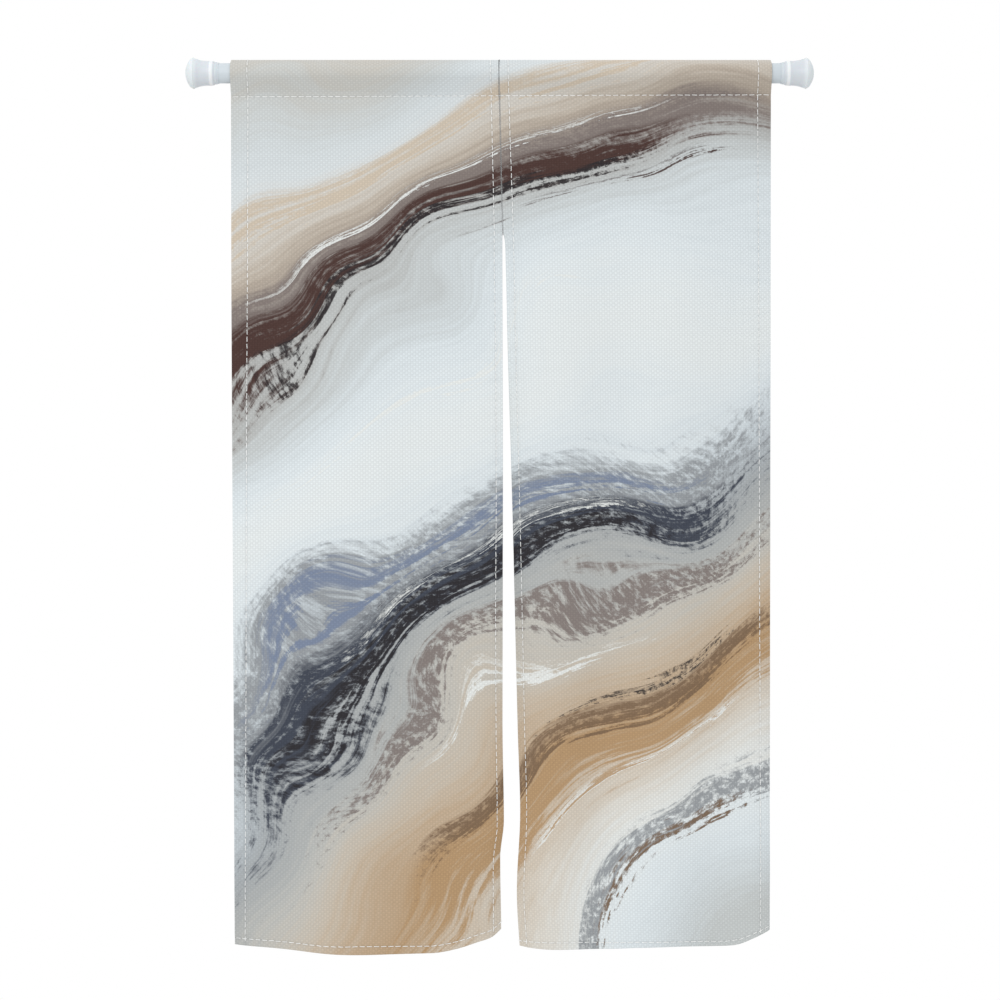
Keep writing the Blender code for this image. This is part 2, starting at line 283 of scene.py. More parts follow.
# Washes under the print's strokes, by their distance from the sweep's centre
WASHES = table(
    "distance ink",
    (0.60, "stone"), (0.76, "mist"), (0.90, "chalk"), (1.02, "sand"), (1.12, "ochre"),
    (1.22, "sand"), (1.32, "stone"), (1.42, "ash"), (1.52, "mist"), (1.64, "chalk"),
    (1.76, "mist"), (1.86, "stone"), (1.94, "taupe"), (2.02, "sand"), (2.12, "mist"),
    (2.24, "stone"), (2.38, "sand"),
)

# The print's brush strokes. A stroke's middle is this far from the sweep's centre and it is this
# wide, in metres, and it runs between two turns round that centre, in degrees. Dryness is the
# share that the brush leaves bare, and grain goes from 0 for long bristle streaks to 1 for specks.
STROKES = table(
    "ink middle width start end dryness grain",
    ("sand", 2.080, 0.090, 40, 88, 0.30, 0.2),
    ("taupe", 1.935, 0.170, 36, 90, 0.25, 0.4),
    ("maroon", 1.915, 0.100, 42, 80, 0.24, 0.3),
    ("coal", 1.890, 0.050, 48, 76, 0.36, 0.8),
    ("maroon", 1.848, 0.018, 60, 82, 0.48, 0.1),
    ("chalk", 1.975, 0.020, 50, 78, 0.45, 0.3),
    ("chalk", 1.720, 0.022, 42, 70, 0.45, 0.2),
    ("ash", 1.480, 0.190, 24, 84, 0.30, 0.7),
    ("slate", 1.500, 0.050, 34, 74, 0.42, 0.4),
    ("navy", 1.425, 0.150, 24, 80, 0.20, 0.5),
    ("coal", 1.410, 0.075, 30, 70, 0.28, 0.8),
    ("chalk", 1.455, 0.016, 40, 68, 0.46, 0.6),
    ("taupe", 1.320, 0.080, 26, 80, 0.32, 0.9),
    ("chalk", 1.265, 0.020, 36, 62, 0.42, 0.2),
    ("ochre", 1.085, 0.200, 16, 84, 0.16, 0.1),
    ("umber", 1.140, 0.085, 26, 80, 0.26, 0.5),
    ("coal", 1.175, 0.022, 44, 70, 0.50, 0.8),
    ("chalk", 1.020, 0.016, 36, 70, 0.44, 0.2),
    ("ash", 0.860, 0.110, 20, 78, 0.34, 0.8),
    ("umber", 0.840, 0.040, 34, 66, 0.44, 0.7),
)

# A stroke is full over these shares of its half width and half length. Ink held by the brush
# begins to show at one level, covers most at another, and never covers wholly.
FULL_WIDTH = 0.4
FULL_LENGTH = 0.5
INK_HELD = 1.7
INK_SHOWS = 0.35
INK_COVERS = 0.95
MOST_COVER = 0.92

# The print's noise: its slow wander, bristle marks by their scale across and along the arcs, and
# grains of dried paint. Each shifts the strokes' edges by this share of itself. Noise over the
# peak level takes ink, more sharply the greater the contrast.
WANDER_SCALE = 1.7
WANDER = (0.6, 0.6, 0.0)
BRISTLE_SCALE = (95.0, 0.11, 1.0)
BRISTLE_SHIFT = 0.11
GRAIN_SCALE = 75.0
GRAIN_SHIFT = 0.03
PEAK_LEVEL = 0.6
PEAK_CONTRAST = 5.0

# The soft lamp's diameter, and its place from the middle of the rod
LAMP_SIZE = 2.2
LAMP_PLACE = (-1.5, -2.9, 0.9)

# The photo's frame is 1000 px square, at this real size for each of its pixels
PIXEL = 0.0016
PHOTO_PIXELS = 1000
LEFT_WALL_PIXEL = 185.9
ROD_AXIS_PIXEL = 73.3

MATHS = "ShaderNodeMath"
VECTOR_MATHS = "ShaderNodeVectorMath"
MIX = "ShaderNodeMix"
NOISE = "ShaderNodeTexNoise"
MAP_RANGE = "ShaderNodeMapRange"


def linear(hex_colour):
    """A linear RGBA colour from an sRGB hex value such as "B48E60"."""
    channels = [int(hex_colour[k : k + 2], 16) / 255 for k in (0, 2, 4)]
    return [c / 12.92 if c <= 0.04045 else ((c + 0.055) / 1.055) ** 2.4 for c in channels] + [1.0]


def colour_prop(name, hex_colour, description):
    return bpy.props.FloatVectorProperty(
        name=name,
        description=description,
        subtype="COLOR",
        size=4,
        min=0.0,
        max=1.0,
        default=linear(hex_colour),
    )


def length_prop(name, default, description):
    return bpy.props.FloatProperty(
        name=name,
        description=description,
        subtype="DISTANCE",
        unit="LENGTH",
        min=0.0,
        precision=5,
        default=default,
    )


def share_prop(name, default, description):
    return bpy.props.FloatProperty(
        name=name, description=description, subtype="FACTOR", min=0.0, max=1.0, default=default
    )


class NorenClothSettings(bpy.types.PropertyGroup):
    """Sizes of the woven cloth and the finish of its two faces."""

    thickness: length_prop("Thickness", 0.0012, "Thickness of one layer of the cloth")
    warp_pitch: length_prop("Warp pitch", 0.0042, "Distance between the drawn upright threads")
    weft_pitch: length_prop("Weft pitch", 0.0034, "Distance between the drawn level threads")
    weave_relief: length_prop("Weave relief", 0.0003, "How far the threads stand up")
    # Painted shade: the gaps between threads are painted darker, as shade falls in them.
    gap_painted_shade: share_prop("Weave shade", 0.14, "How much darker the gaps between threads are")
    over_shade: share_prop("Over shade", 0.08, "How much paler the upright threads are on top")
    slub_shade: share_prop("Slub shade", 0.07, "How much the threads differ from each other")
    reverse_fade: share_prop("Reverse fade", 0.55, "How far the unprinted back of the cloth pales")
    undyed: colour_prop("Undyed cloth", "ECEBE7", "The cloth where no ink reaches")


class NorenPrintSettings(bpy.types.PropertyGroup):
    """Colours of the brushed print."""

    mist: colour_prop("Mist", "D8E2E8", "Pale blue-white wash")
    chalk: colour_prop("Chalk", "E0E3E1", "Warm white wash")
    stone: colour_prop("Stone", "BCBFBD", "Warm grey wash")
    sand: colour_prop("Sand", "C6B8A5", "Beige wash")
    ash: colour_prop("Ash", "8D9195", "Grey wash and strokes")
    ochre: colour_prop("Ochre", "AE8E68", "Ochre strokes")
    umber: colour_prop("Umber", "77604A", "Darker brown in the ochre strokes")
    taupe: colour_prop("Taupe", "7C726E", "Grey-brown strokes")
    maroon: colour_prop("Maroon", "40251F", "Dark red-brown strokes")
    navy: colour_prop("Navy", "2B3242", "Blue-black strokes")
    slate: colour_prop("Slate", "75829A", "Grey-blue in the dark strokes")
    coal: colour_prop("Coal", "262326", "Nearly black accents")


class NorenSewingSettings(bpy.types.PropertyGroup):
    """Sizes and colours of the threads."""

    pitch: length_prop("Stitch pitch", 0.01136, "From the start of one stitch to the next")
    face_length: length_prop("Stitch length", 0.0081, "Thread that shows on the face")
    back_length: length_prop("Back stitch length", 0.0050, "Thread that shows on the back")
    thread_width: length_prop("Thread width", 0.0029, "Width of the topstitching thread")
    thread_height: length_prop("Thread height", 0.0008, "Height of the topstitching thread")
    seam_pitch: length_prop("Seam pitch", 0.0014, "Spacing of the seam's joining stitches")
    seam_length: length_prop("Seam stitch length", 0.0040, "Length of the joining stitches")
    seam_width: length_prop("Seam thread width", 0.0013, "Width of the seam's thread")
    unevenness: share_prop("Unevenness", 0.08, "How much the stitches differ in length and turn")
    thread: colour_prop("Topstitching thread", "FCFDFC", "White topstitching thread")
    # Partly painted shade: the joining thread is real, and its dark grey stands in for the shadow in
    # the seam between the panels.
    seam_thread_and_shadow: colour_prop("Seam thread", "86898B", "Grey thread that joins the panels")


class NorenRodSettings(bpy.types.PropertyGroup):
    """Finish of the tension rod."""

    sides: bpy.props.IntProperty(
        name="Sides", description="Facets round the tube and its caps", min=16, max=160, default=96
    )
    enamel: colour_prop("Enamel", "CDD6DC", "The tube's enamel")
    plastic: colour_prop("Plastic", "D3D9DF", "The end caps' plastic")
    # Painted highlight: the domes and rims are painted paler where light catches them.
    dome: colour_prop("Dome", "E2E9EC", "The end caps' paler domes")
    # Painted highlight: the ring stands for the light that the cap's rounded shoulder catches.
    ring: colour_prop("Ring", "ECEFF1", "The paler ring round each end cap")
    collar: colour_prop("Collar", "D0D8DE", "The greyer collar at each end cap's mouth")


class NorenStageSettings(bpy.types.PropertyGroup):
    """The studio that the curtain hangs in."""

    lens: bpy.props.FloatProperty(
        name="Lens", description="Focal length in millimetres", min=20, max=300, default=85
    )
    fill_above: bpy.props.FloatProperty(
        name="Fill above", description="Strength of the light from above", min=0, default=1.02
    )
    fill_below: bpy.props.FloatProperty(
        name="Fill below", description="Strength of the light from below", min=0, default=0.58
    )
    key: bpy.props.FloatProperty(
        name="Key light", description="Power of the soft lamp in watts", min=0, default=33
    )
    floor_drop: length_prop("Floor drop", 1.95, "How far the floor lies below the rod")
    floor_radius: length_prop("Floor radius", 1.9, "Radius of the round floor")
    floor: colour_prop("Floor", "F2F2F1", "The floor's matte paint")


def settings(name):
    """One of this add-on's groups of settings."""
    return getattr(bpy.context.scene, "noren_" + name)


def set_inputs(node, inputs):
    """Sets a node's inputs, listed in the sockets' order or by their names or numbers.

    Each is a value, or another node's output to link from.
    """
    for key, value in inputs.items() if isinstance(inputs, dict) else enumerate(inputs):
        if isinstance(value, bpy.types.NodeSocket):
            node.id_data.links.new(value, node.inputs[key])
        else:
            node.inputs[key].default_value = value


def add_node(tree, kind, inputs=(), output=0, **values):
    """Adds a node with these inputs and settings to a tree, and gives one of its outputs."""
    node = tree.nodes.new(kind)
    for name, value in values.items():
        setattr(node, name, value)
    set_inputs(node, inputs)
    return node.outputs[output]


def new_material(name):
    """A new material, add_node for its own tree, and its Principled shader."""
    material = bpy.data.materials.new(name)
    material.use_nodes = True
    tree = material.node_tree
    return material, partial(add_node, tree), tree.nodes["Principled BSDF"]


def mesh_of(name, shape):
    """A mesh of this name with a bmesh's shape, which is freed."""
    mesh = bpy.data.meshes.new(name)
    shape.to_mesh(mesh)
    shape.free()
    return mesh


def add_piece(name, mesh, material):
    """A finished piece of the curtain, which rides on the model's one body."""
    piece = bpy.data.objects.new(name, mesh)
    bpy.context.scene.collection.objects.link(piece)
    mesh.materials.clear()
    mesh.materials.append(material)
    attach(piece, "root")
    return piece


# The shape of the hanging cloth


def smooth_through(places, values, at):
    """A smooth curve through the values at these places, which doesn't overshoot them."""
    places, values, at = (np.asarray(v, float) for v in (places, values, at))
    secants = np.diff(values) / np.diff(places)
    slopes = np.concatenate([secants[:1], (secants[:-1] + secants[1:]) / 2, secants[-1:]])
    turning = np.concatenate([[False], secants[:-1] * secants[1:] <= 0, [False]])
    slopes[turning] = 0.0
    steepest = 3 * np.minimum(
        np.abs(np.concatenate([secants[:1], secants])),
        np.abs(np.concatenate([secants, secants[-1:]])),
    )
    slopes = np.clip(slopes, -steepest, steepest)
    span = np.clip(np.searchsorted(places, at) - 1, 0, len(secants) - 1)
    width = places[span + 1] - places[span]
    t = np.clip((at - places[span]) / width, 0.0, 1.0)
    start = values[span] * (1 + 2 * t) * (1 - t) ** 2 + slopes[span] * width * t * (1 - t) ** 2
    end = values[span + 1] * t**2 * (3 - 2 * t) + slopes[span + 1] * width * t**2 * (t - 1)
    return start + end


def level_at(panel, drop):
    """The panel's level at any drop, as a row of its table of levels."""
    drops = [level.drop for level in panel.levels]
    smooth = (float(smooth_through(drops, column, drop)) for column in zip(*panel.levels))
    level = panel.levels[0]._make(smooth)
    if drop < SLIT_START:
        # Above the slit both panels follow one straight seam.
        seam = np.interp(drop, drops[:2], [level.inner for level in panel.levels[:2]])
        level = level._replace(inner=float(seam))
    return level


def across(panel, drop):
    """X, Y and lean of the panel at this drop, at FINE_STEPS + 1 even places across its width."""
    level = level_at(panel, drop)
    width = np.linspace(0.0, PANEL_WIDTH, FINE_STEPS + 1)
    share = width / PANEL_WIDTH
    phase = panel.fold_phase + panel.fold_drift * drop / NOMINAL_DROP
    lean = np.radians(
        level.fold_turn * np.sin(2 * math.pi * (panel.folds * share + phase))
        - level.outer_turn * np.exp(-width / CURL_REACH)
        + level.inner_turn * np.exp((width - PANEL_WIDTH) / CURL_REACH)
    )
    middle = (lean[1:] + lean[:-1]) / 2
    run = np.concatenate([[0.0], np.cumsum(np.cos(middle))])
    x = level.outer + (level.inner - level.outer) * run / run[-1]
    y = np.concatenate([[0.0], np.cumsum(np.sin(middle))]) * PANEL_WIDTH / FINE_STEPS
    y = y - y.mean() + level.depth
    # Above the slit the two panels are sewn edge to edge, so their inner edges keep one depth.
    joined = min(1.0, max(0.0, (2 * SLIT_START - drop) / SLIT_START))
    y = y - joined * y[-1] * share**2
    return x, y, lean


def bottom_drop(panel, width):
    """The drop of the bottom edge at this width."""
    shares, drops = zip(*panel.bottom)
    return smooth_through(shares, drops, np.asarray(width) / PANEL_WIDTH)


def stitch_inset(line, drop):
    """How far from its edge a side hem's stitch line lies at this drop."""
    return np.interp(drop, *zip(*line))


def pocket_line(panel, width):
    """The drop of the pocket's stitch line at this width."""
    return np.interp(width, (0.0, PANEL_WIDTH), panel.pocket_stitch)


def hem_line(panel, width):
    """The drop of the bottom hem's stitch line at this width."""
    return bottom_drop(panel, width) - np.interp(width / PANEL_WIDTH, *zip(*panel.hem_stitch))


def unevenness(panel, width, drop):
    """How far the cloth's small ripples and puckers move it back."""
    first, second = (across * width + down * drop for across, down in RIPPLE_TURNS)
    ripple = np.sin(first + panel.folds) * np.sin(second)
    turn = 2 * math.pi * drop / PUCKER_PITCH + panel.folds
    pucker = np.sin(turn) + 0.7 * np.sin(0.63 * turn + 1)
    from_outer = np.abs(width - stitch_inset(panel.outer_stitch, drop))
    from_inner = np.abs(PANEL_WIDTH - stitch_inset(panel.inner_stitch, drop) - width)
    near = np.exp(-((np.minimum(from_outer, from_inner) / PUCKER_REACH) ** 2))
    free = np.clip((drop - POCKET_STITCH) / SMOOTH_DROP, 0.0, 1.0)
    return free * (RIPPLE_DEPTH * ripple + PUCKER_DEPTH * near * pucker)


def hang(panel, widths, part):
    """The hanging cloth's face, at these widths and this part (0 to 1) of the way down it.

    Gives the points, the unit directions from the face to the back, and the points' drops.
    """
    widths = np.asarray(widths, float)
    fine = np.linspace(0.0, PANEL_WIDTH, FINE_STEPS + 1)
    level = across(panel, POCKET_STITCH + part * WHOLE_DROP)
    x, y, lean = (np.interp(widths, fine, values) for values in level)
    drop = POCKET_STITCH + part * (bottom_drop(panel, widths) - POCKET_STITCH)
    from_corner = np.hypot(widths - panel.corner_share * PANEL_WIDTH, (1 - part) * NOMINAL_DROP)
    y = y + panel.corner_back * np.exp(-((from_corner / CORNER_REACH) ** 2))
    y = y + unevenness(panel, widths, drop) - settings("cloth").thickness
    inward = np.stack([-panel.inward * np.sin(lean), np.cos(lean), 0 * lean], axis=1)
    return np.stack([x, y, -drop], axis=1), inward, drop


def pocket_half(start_y, thickness, facing):
    """(outer, inner) points in the YZ plane up one side of the rod, from the stitch line.

    Facing is -1 for the front and 1 for the back. The cloth runs straight to the rod, round it,
    and straight on to the pressed ridge above it.
    """
    radius = ROD_RADIUS + POCKET_SLACK + 2 * settings("cloth").thickness
    reach = math.hypot(start_y, POCKET_STITCH)
    below = math.atan2(-POCKET_STITCH, facing * start_y) + math.acos(radius / reach)
    above = math.pi / 2 - math.acos(radius / POCKET_TOP)
    touch = np.array([math.cos(below), math.sin(below)]) * radius
    leave = np.array([math.cos(above), math.sin(above)]) * radius
    start, ridge = np.array([facing * start_y, -POCKET_STITCH]), np.array([0.0, POCKET_TOP])
    steps = np.arange(1, POCKET_LINE_STEPS + 1) / (POCKET_LINE_STEPS + 1)
    path = [(start + (touch - start) * step, below) for step in steps]
    for angle in np.linspace(below, above, POCKET_ARC_STEPS + 1):
        path.append((np.array([math.cos(angle), math.sin(angle)]) * radius, angle))
    path += [(leave + (ridge - leave) * step, above) for step in steps]
    outer = [(facing * y, z) for (y, z), _ in path]
    inner = [
        (facing * (y - thickness * math.cos(angle)), z - thickness * math.sin(angle))
        for (y, z), angle in path
    ]
    return outer, inner


def pocket_section(thickness):
    """(outer, inner) points in the YZ plane round the whole pocket, its stitch line left out."""
    layer = settings("cloth").thickness
    front, front_inner = pocket_half(-layer, thickness, -1)
    back, back_inner = pocket_half(2 * thickness - layer, thickness, 1)
    radius = ROD_RADIUS + POCKET_SLACK + 2 * layer
    ridge_inner = POCKET_TOP - thickness * POCKET_TOP / radius
    outer = front + [(0.0, POCKET_TOP)] + back[::-1]
    inner = front_inner + [(0.0, ridge_inner)] + back_inner[::-1]
    return np.array(outer), np.array(inner)


def pocket_points(panel, width, section):
    """The section's (Y, Z) points, placed along X where this width of the cloth lies."""
    top, slit = panel.levels[:2]
    seam_slope = (slit.inner - top.inner) / (SLIT_START - POCKET_STITCH)
    inner = top.inner - seam_slope * (section[:, 1] + POCKET_STITCH)
    x = top.outer + (inner - top.outer) * width / PANEL_WIDTH
    return np.column_stack([x, section])


def pocket_runs(section):
    """How far along the cloth each point of a section lies from the stitch line."""
    start = np.array([[-settings("cloth").thickness, -POCKET_STITCH]])
    return np.cumsum(np.hypot(*np.diff(np.vstack([start, section]), axis=0).T))


# The meshed panels


def rounding_places():
    """Places near a folded edge, close enough together to round it."""
    turn = np.linspace(0, math.pi / 2, EDGE_ROUND_STEPS + 1)[:-1]
    return settings("cloth").thickness * (1 - np.cos(turn))


def edge_keep(distance):
    """The share of its thickness that cloth keeps at this distance from its folded edge."""
    outside = np.clip(1 - distance / settings("cloth").thickness, 0.0, 1.0)
    return np.maximum(THINNEST_EDGE, np.sqrt(1 - outside**2))


def evenly(start, end, pitch):
    return np.linspace(start, end, 1 + round((end - start) / pitch))


def column_widths(panel):
    """Places across the width, close together at the folded edges and in the hems."""
    edge, half = settings("cloth").thickness, HEM_STEP / 2
    outer, inner = panel.outer_hem, PANEL_WIDTH - panel.inner_hem
    return np.concatenate(
        [
            rounding_places(),
            evenly(edge, outer - half, HEM_PITCH),
            evenly(outer + half, inner - half, COLUMN_PITCH),
            evenly(inner + half, PANEL_WIDTH - edge, HEM_PITCH),
            PANEL_WIDTH - rounding_places()[::-1],
        ]
    )


def row_parts():
    """Parts of the way down from the pocket's stitch line, close together in the hems."""
    edge, half = settings("cloth").thickness, HEM_STEP / 2
    hem = WHOLE_DROP - BOTTOM_HEM
    places = [
        evenly(0.0, POCKET_TURNING - half, HEM_PITCH),
        evenly(POCKET_TURNING + half, hem - half, ROW_PITCH),
        evenly(hem + half, WHOLE_DROP - edge, HEM_PITCH),
        WHOLE_DROP - rounding_places()[::-1],
    ]
    return np.concatenate(places) / WHOLE_DROP


def in_side_hem(panel, widths):
    return (widths < panel.outer_hem) | (widths > PANEL_WIDTH - panel.inner_hem)


def in_turning(part):
    return part * WHOLE_DROP < POCKET_TURNING


def in_bottom_hem(part):
    return (1 - part) * WHOLE_DROP < BOTTOM_HEM


def layers_at(panel, widths, part):
    """How many layers of cloth lie on each other."""
    rows = 2 if in_turning(part) or in_bottom_hem(part) else 1
    return np.where(in_side_hem(panel, widths), 2, 1) * rows


def squeezed(first, second, keep):
    """Two surfaces drawn in to their middle until the cloth between keeps this share."""
    middle = (first + second) / 2
    keep = np.asarray(keep)[..., None]
    return middle + (first - middle) * keep, middle + (second - middle) * keep


def hanging_sheets(panel, widths, parts):
    """The hanging cloth's face and back points and its drops, each by column and row."""
    layer = settings("cloth").thickness
    side_keep = edge_keep(np.minimum(widths, PANEL_WIDTH - widths))
    rungs = []
    for part in parts:
        face, inward, drop = hang(panel, widths, part)
        back = face + inward * (layers_at(panel, widths, part) * layer)[:, None]
        keep = np.minimum(side_keep, edge_keep((1 - part) * WHOLE_DROP))
        rungs.append((*squeezed(face, back, keep), drop))
    faces, backs, drops = (np.swapaxes(values, 0, 1) for values in zip(*rungs))
    return faces, backs, drops


def pocket_loops(panel, widths):
    """The pocket's outer and inner points by column, the inner ones from where its layers meet."""
    layer = settings("cloth").thickness
    outers, inners = [], []
    for width, keep in zip(widths, edge_keep(np.minimum(widths, PANEL_WIDTH - widths))):
        thickness = 2 * layer if in_side_hem(panel, width) else layer
        section = [pocket_points(panel, width, side) for side in pocket_section(thickness)]
        outer, inner = squeezed(*section, np.full(len(section[0]), keep))
        join = np.array([[thickness - layer, thickness - POCKET_STITCH]])
        outers.append(outer)
        inners.append(np.vstack([pocket_points(panel, width, join), inner]))
    return np.array(outers), np.array(inners)


def ring_faces(first, columns, count):
    """Faces between neighbouring rings of points, all the way round, as point numbers."""
    ring = first + np.arange(columns - 1)[:, None] * count
    here, after = ring + np.arange(count), ring + (np.arange(count) + 1) % count
    return np.stack([here, after, after + count, here + count], axis=-1).reshape(-1, 4).tolist()


def side_faces(outer, inner, rows):
    """Faces that close a side edge: the hanging strip, then the open end of the pocket."""
    front, back = outer[:rows], outer[-rows:][::-1]
    faces = [(front[k], front[k + 1], back[k + 1], back[k]) for k in range(rows - 2)]
    faces.append((front[-2], front[-1], inner[0], back[-1], back[-2]))
    outside, inside = outer[rows - 1 : len(outer) - rows + 1], [*inner, inner[0]]
    for k in range(len(outside) - 1):
        faces.append((outside[k], outside[k + 1], inside[k + 1], inside[k]))
    return faces


def flat_places(panel, widths, runs, bare):
    """(across, along, bare) by column, on the whole curtain's flat cloth, for its print and weave.

    Bare is 1 on the reverse side of the cloth, where no ink was laid.
    """
    across_curtain = widths if panel.inward > 0 else 2 * PANEL_WIDTH - widths
    return np.stack(np.broadcast_arrays(across_curtain, runs, bare), axis=-1)


def places_on_cloth(panel, widths, parts, drops, runs):
    """The flat place of every point of a panel: its outer ring's points, then its inner ones'.

    A hem's cloth is turned over, so that the printed face shows on its back.
    """
    wide, hem = widths[:, None], in_side_hem(panel, widths)[:, None]
    turned = np.where(wide < PANEL_WIDTH / 2, -wide, 2 * PANEL_WIDTH - wide)
    behind = np.where(hem, turned, wide)
    ridge = runs[len(runs) // 2]
    along = ridge + drops - POCKET_STITCH
    turning, bottom = in_turning(parts)[None, :], in_bottom_hem(parts)[None, :]
    along_back = np.where(turning, ridge - runs[-1] - drops + POCKET_STITCH, along)
    along_back = np.where(bottom, 2 * along[:, -1:] - along, along_back)
    over = (ridge - runs)[None, :]
    outer = [
        flat_places(panel, wide, along[:, ::-1], 0.0),
        flat_places(panel, wide, over, 0.0),
        flat_places(panel, behind, along_back, np.where(hem | turning | bottom, 0.0, 1.0)),
    ]
    inside = np.concatenate([[[ridge]], over], axis=1)
    inner = flat_places(panel, behind, inside, np.where(hem, 0.0, 1.0))
    return np.concatenate([np.concatenate(outer, axis=1).reshape(-1, 3), inner.reshape(-1, 3)])


def from_stitching(panel, widths, drops):
    """How far each point lies from the outer, the inner and the nearer cross line of stitches."""
    cross = (drops - pocket_line(panel, widths), hem_line(panel, widths) - drops)
    offsets = [
        widths - stitch_inset(panel.outer_stitch, drops),
        PANEL_WIDTH - stitch_inset(panel.inner_stitch, drops) - widths,
        np.where(drops < NOMINAL_DROP / 2, *cross),
    ]
    return np.stack(offsets, axis=1)


def store_vectors(mesh, name, vectors):
    """Keeps a vector for each point of a mesh, under this name."""
    attribute = mesh.attributes.new(name, "FLOAT_VECTOR", "POINT")
    attribute.data.foreach_set("vector", np.asarray(vectors, np.float32).ravel())


def panel_mesh(panel):
    """One panel as a closed sheet, which knows each point's place on the flat cloth.

    Gives the mesh and the cut length of its cloth, with its pocket and hem unfolded.
    """
    widths, parts = column_widths(panel), row_parts()
    columns, rows = len(widths), len(parts)
    faces, backs, drops = hanging_sheets(panel, widths, parts)
    loops, inner_loops = pocket_loops(panel, widths)
    banded_tone_and_highlights = np.concatenate([faces[:, ::-1], loops, backs], axis=1)
    count, inner_count = banded_tone_and_highlights.shape[1], inner_loops.shape[1]
    first_inner = columns * count
    points = np.concatenate([banded_tone_and_highlights.reshape(-1, 3), inner_loops.reshape(-1, 3)])
    sides = ring_faces(0, columns, count) + ring_faces(first_inner, columns, inner_count)
    for column in (0, columns - 1):
        outer = range(column * count, (column + 1) * count)
        inner = range(first_inner + column * inner_count, first_inner + (column + 1) * inner_count)
        sides += side_faces(list(outer), list(inner), rows)
    mesh = bpy.data.meshes.new(panel.name)
    mesh.from_pydata(points.tolist(), [], sides)
    outward = bmesh.new()
    outward.from_mesh(mesh)
    bmesh.ops.recalc_face_normals(outward, faces=outward.faces[:])
    outward.to_mesh(mesh)
    outward.free()

    runs = pocket_runs(pocket_section(settings("cloth").thickness)[0])
    store_vectors(mesh, "cloth_place", places_on_cloth(panel, widths, parts, drops, runs))
    point_widths = np.concatenate([np.repeat(widths, count), np.repeat(widths, inner_count)])
    offsets = from_stitching(panel, point_widths, -points[:, 2])
    # The pocket's inside is far from every stitch that shows.
    offsets[first_inner:] = 1.0
    store_vectors(mesh, "from_stitching", offsets)
    mesh.shade_smooth()
    mesh.set_sharp_from_angle(angle=math.radians(50))
    hanging = drops.max() - POCKET_STITCH
    return mesh, runs[-1] + hanging + POCKET_TURNING + BOTTOM_HEM


# The print, weave and finish of the cloth


def brushed_over(add, under, stroke, drag, turn, marks):
    """The colour with one brush stroke laid over it. Marks are the bristles' and the grains'."""
    half, run = stroke.width / 2, (stroke.end - stroke.start) / 2
    fades = []
    for place, middle, full, edge in (
        (drag, stroke.middle, FULL_WIDTH * half, half),
        (turn, stroke.start + run, FULL_LENGTH * run, run),
    ):
        away = add(MATHS, [place, middle], operation="SUBTRACT")
        away = add(MATHS, [away], operation="ABSOLUTE")
        fades.append(add(MAP_RANGE, [away, full, edge, 1.0, 0.0]))
    body, reach = fades
    wet = add(MATHS, [body, reach], operation="MULTIPLY")
    # Where the brush is nearly dry, only the peaks of the marks take ink.
    peaks = add(MIX, {0: stroke.grain, 2: marks[0], 3: marks[1]})
    inked = add(MATHS, [wet, INK_HELD - stroke.dryness, peaks], operation="MULTIPLY_ADD")
    cover = add(MAP_RANGE, [inked, INK_SHOWS, INK_COVERS, 0.0, MOST_COVER])
    cover = add(MATHS, [cover, body], operation="MULTIPLY")
    inputs = {0: cover, 6: under, 7: getattr(settings("print"), stroke.ink)}
    return add(MIX, inputs, 2, data_type="RGBA")


def printed_colour(add, flat):
    """The brushed print's colour at a place on the flat cloth: broad arcs, dragged and granular."""
    # Slow noise bends the place, so that the arcs wander as a hand's do.
    slow = add(NOISE, {"Vector": flat, "Scale": WANDER_SCALE, "Detail": 2.0}, "Color")
    slow = add(VECTOR_MATHS, [slow, (0.5, 0.5, 0.5)], operation="SUBTRACT")
    bent = add(VECTOR_MATHS, [slow, WANDER, flat], operation="MULTIPLY_ADD")
    reach = add(VECTOR_MATHS, [SWEEP_CENTRE, bent], operation="SUBTRACT")
    radius = add(VECTOR_MATHS, [reach], "Value", operation="LENGTH")
    x, y, _ = add("ShaderNodeSeparateXYZ", [reach]).node.outputs
    turn = add(MATHS, [y, x], operation="ARCTAN2")
    turn = add(MATHS, [turn], operation="DEGREES")

    # Bristle marks are noise stretched along the arcs, and grains are paint dried in specks.
    swept = add("ShaderNodeCombineXYZ", [radius, turn, 0.0])
    swept = add(VECTOR_MATHS, [swept, BRISTLE_SCALE], operation="MULTIPLY")
    bristles = add(NOISE, {"Vector": swept, "Scale": 1.0, "Detail": 5.0, "Roughness": 0.62})
    grains = add(NOISE, {"Vector": bent, "Scale": GRAIN_SCALE, "Detail": 5.0, "Roughness": 0.75})
    marks, drag = [], radius
    for noise, shift in ((bristles, BRISTLE_SHIFT), (grains, GRAIN_SHIFT)):
        mark = [noise, PEAK_CONTRAST, -PEAK_LEVEL * PEAK_CONTRAST]
        marks.append(add(MATHS, mark, operation="MULTIPLY_ADD"))
        drag = add(MATHS, [noise, shift, drag], operation="MULTIPLY_ADD")
    drag = add(MATHS, [drag, (BRISTLE_SHIFT + GRAIN_SHIFT) / 2], operation="SUBTRACT")

    inks = settings("print")
    nearest, farthest = WASHES[0].distance, WASHES[-1].distance
    reached = add(MAP_RANGE, [drag, nearest, farthest])
    colour = add("ShaderNodeValToRGB", [reached])
    ramp = colour.node.color_ramp
    ramp.interpolation = "B_SPLINE"
    for stop, wash in zip(ramp.elements, (WASHES[0], WASHES[-1])):
        stop.color = getattr(inks, wash.ink)
    for wash in WASHES[1:-1]:
        stop = ramp.elements.new((wash.distance - nearest) / (farthest - nearest))
        stop.color = getattr(inks, wash.ink)
    for stroke in STROKES:
        colour = brushed_over(add, colour, stroke, drag, turn, marks)
    return colour


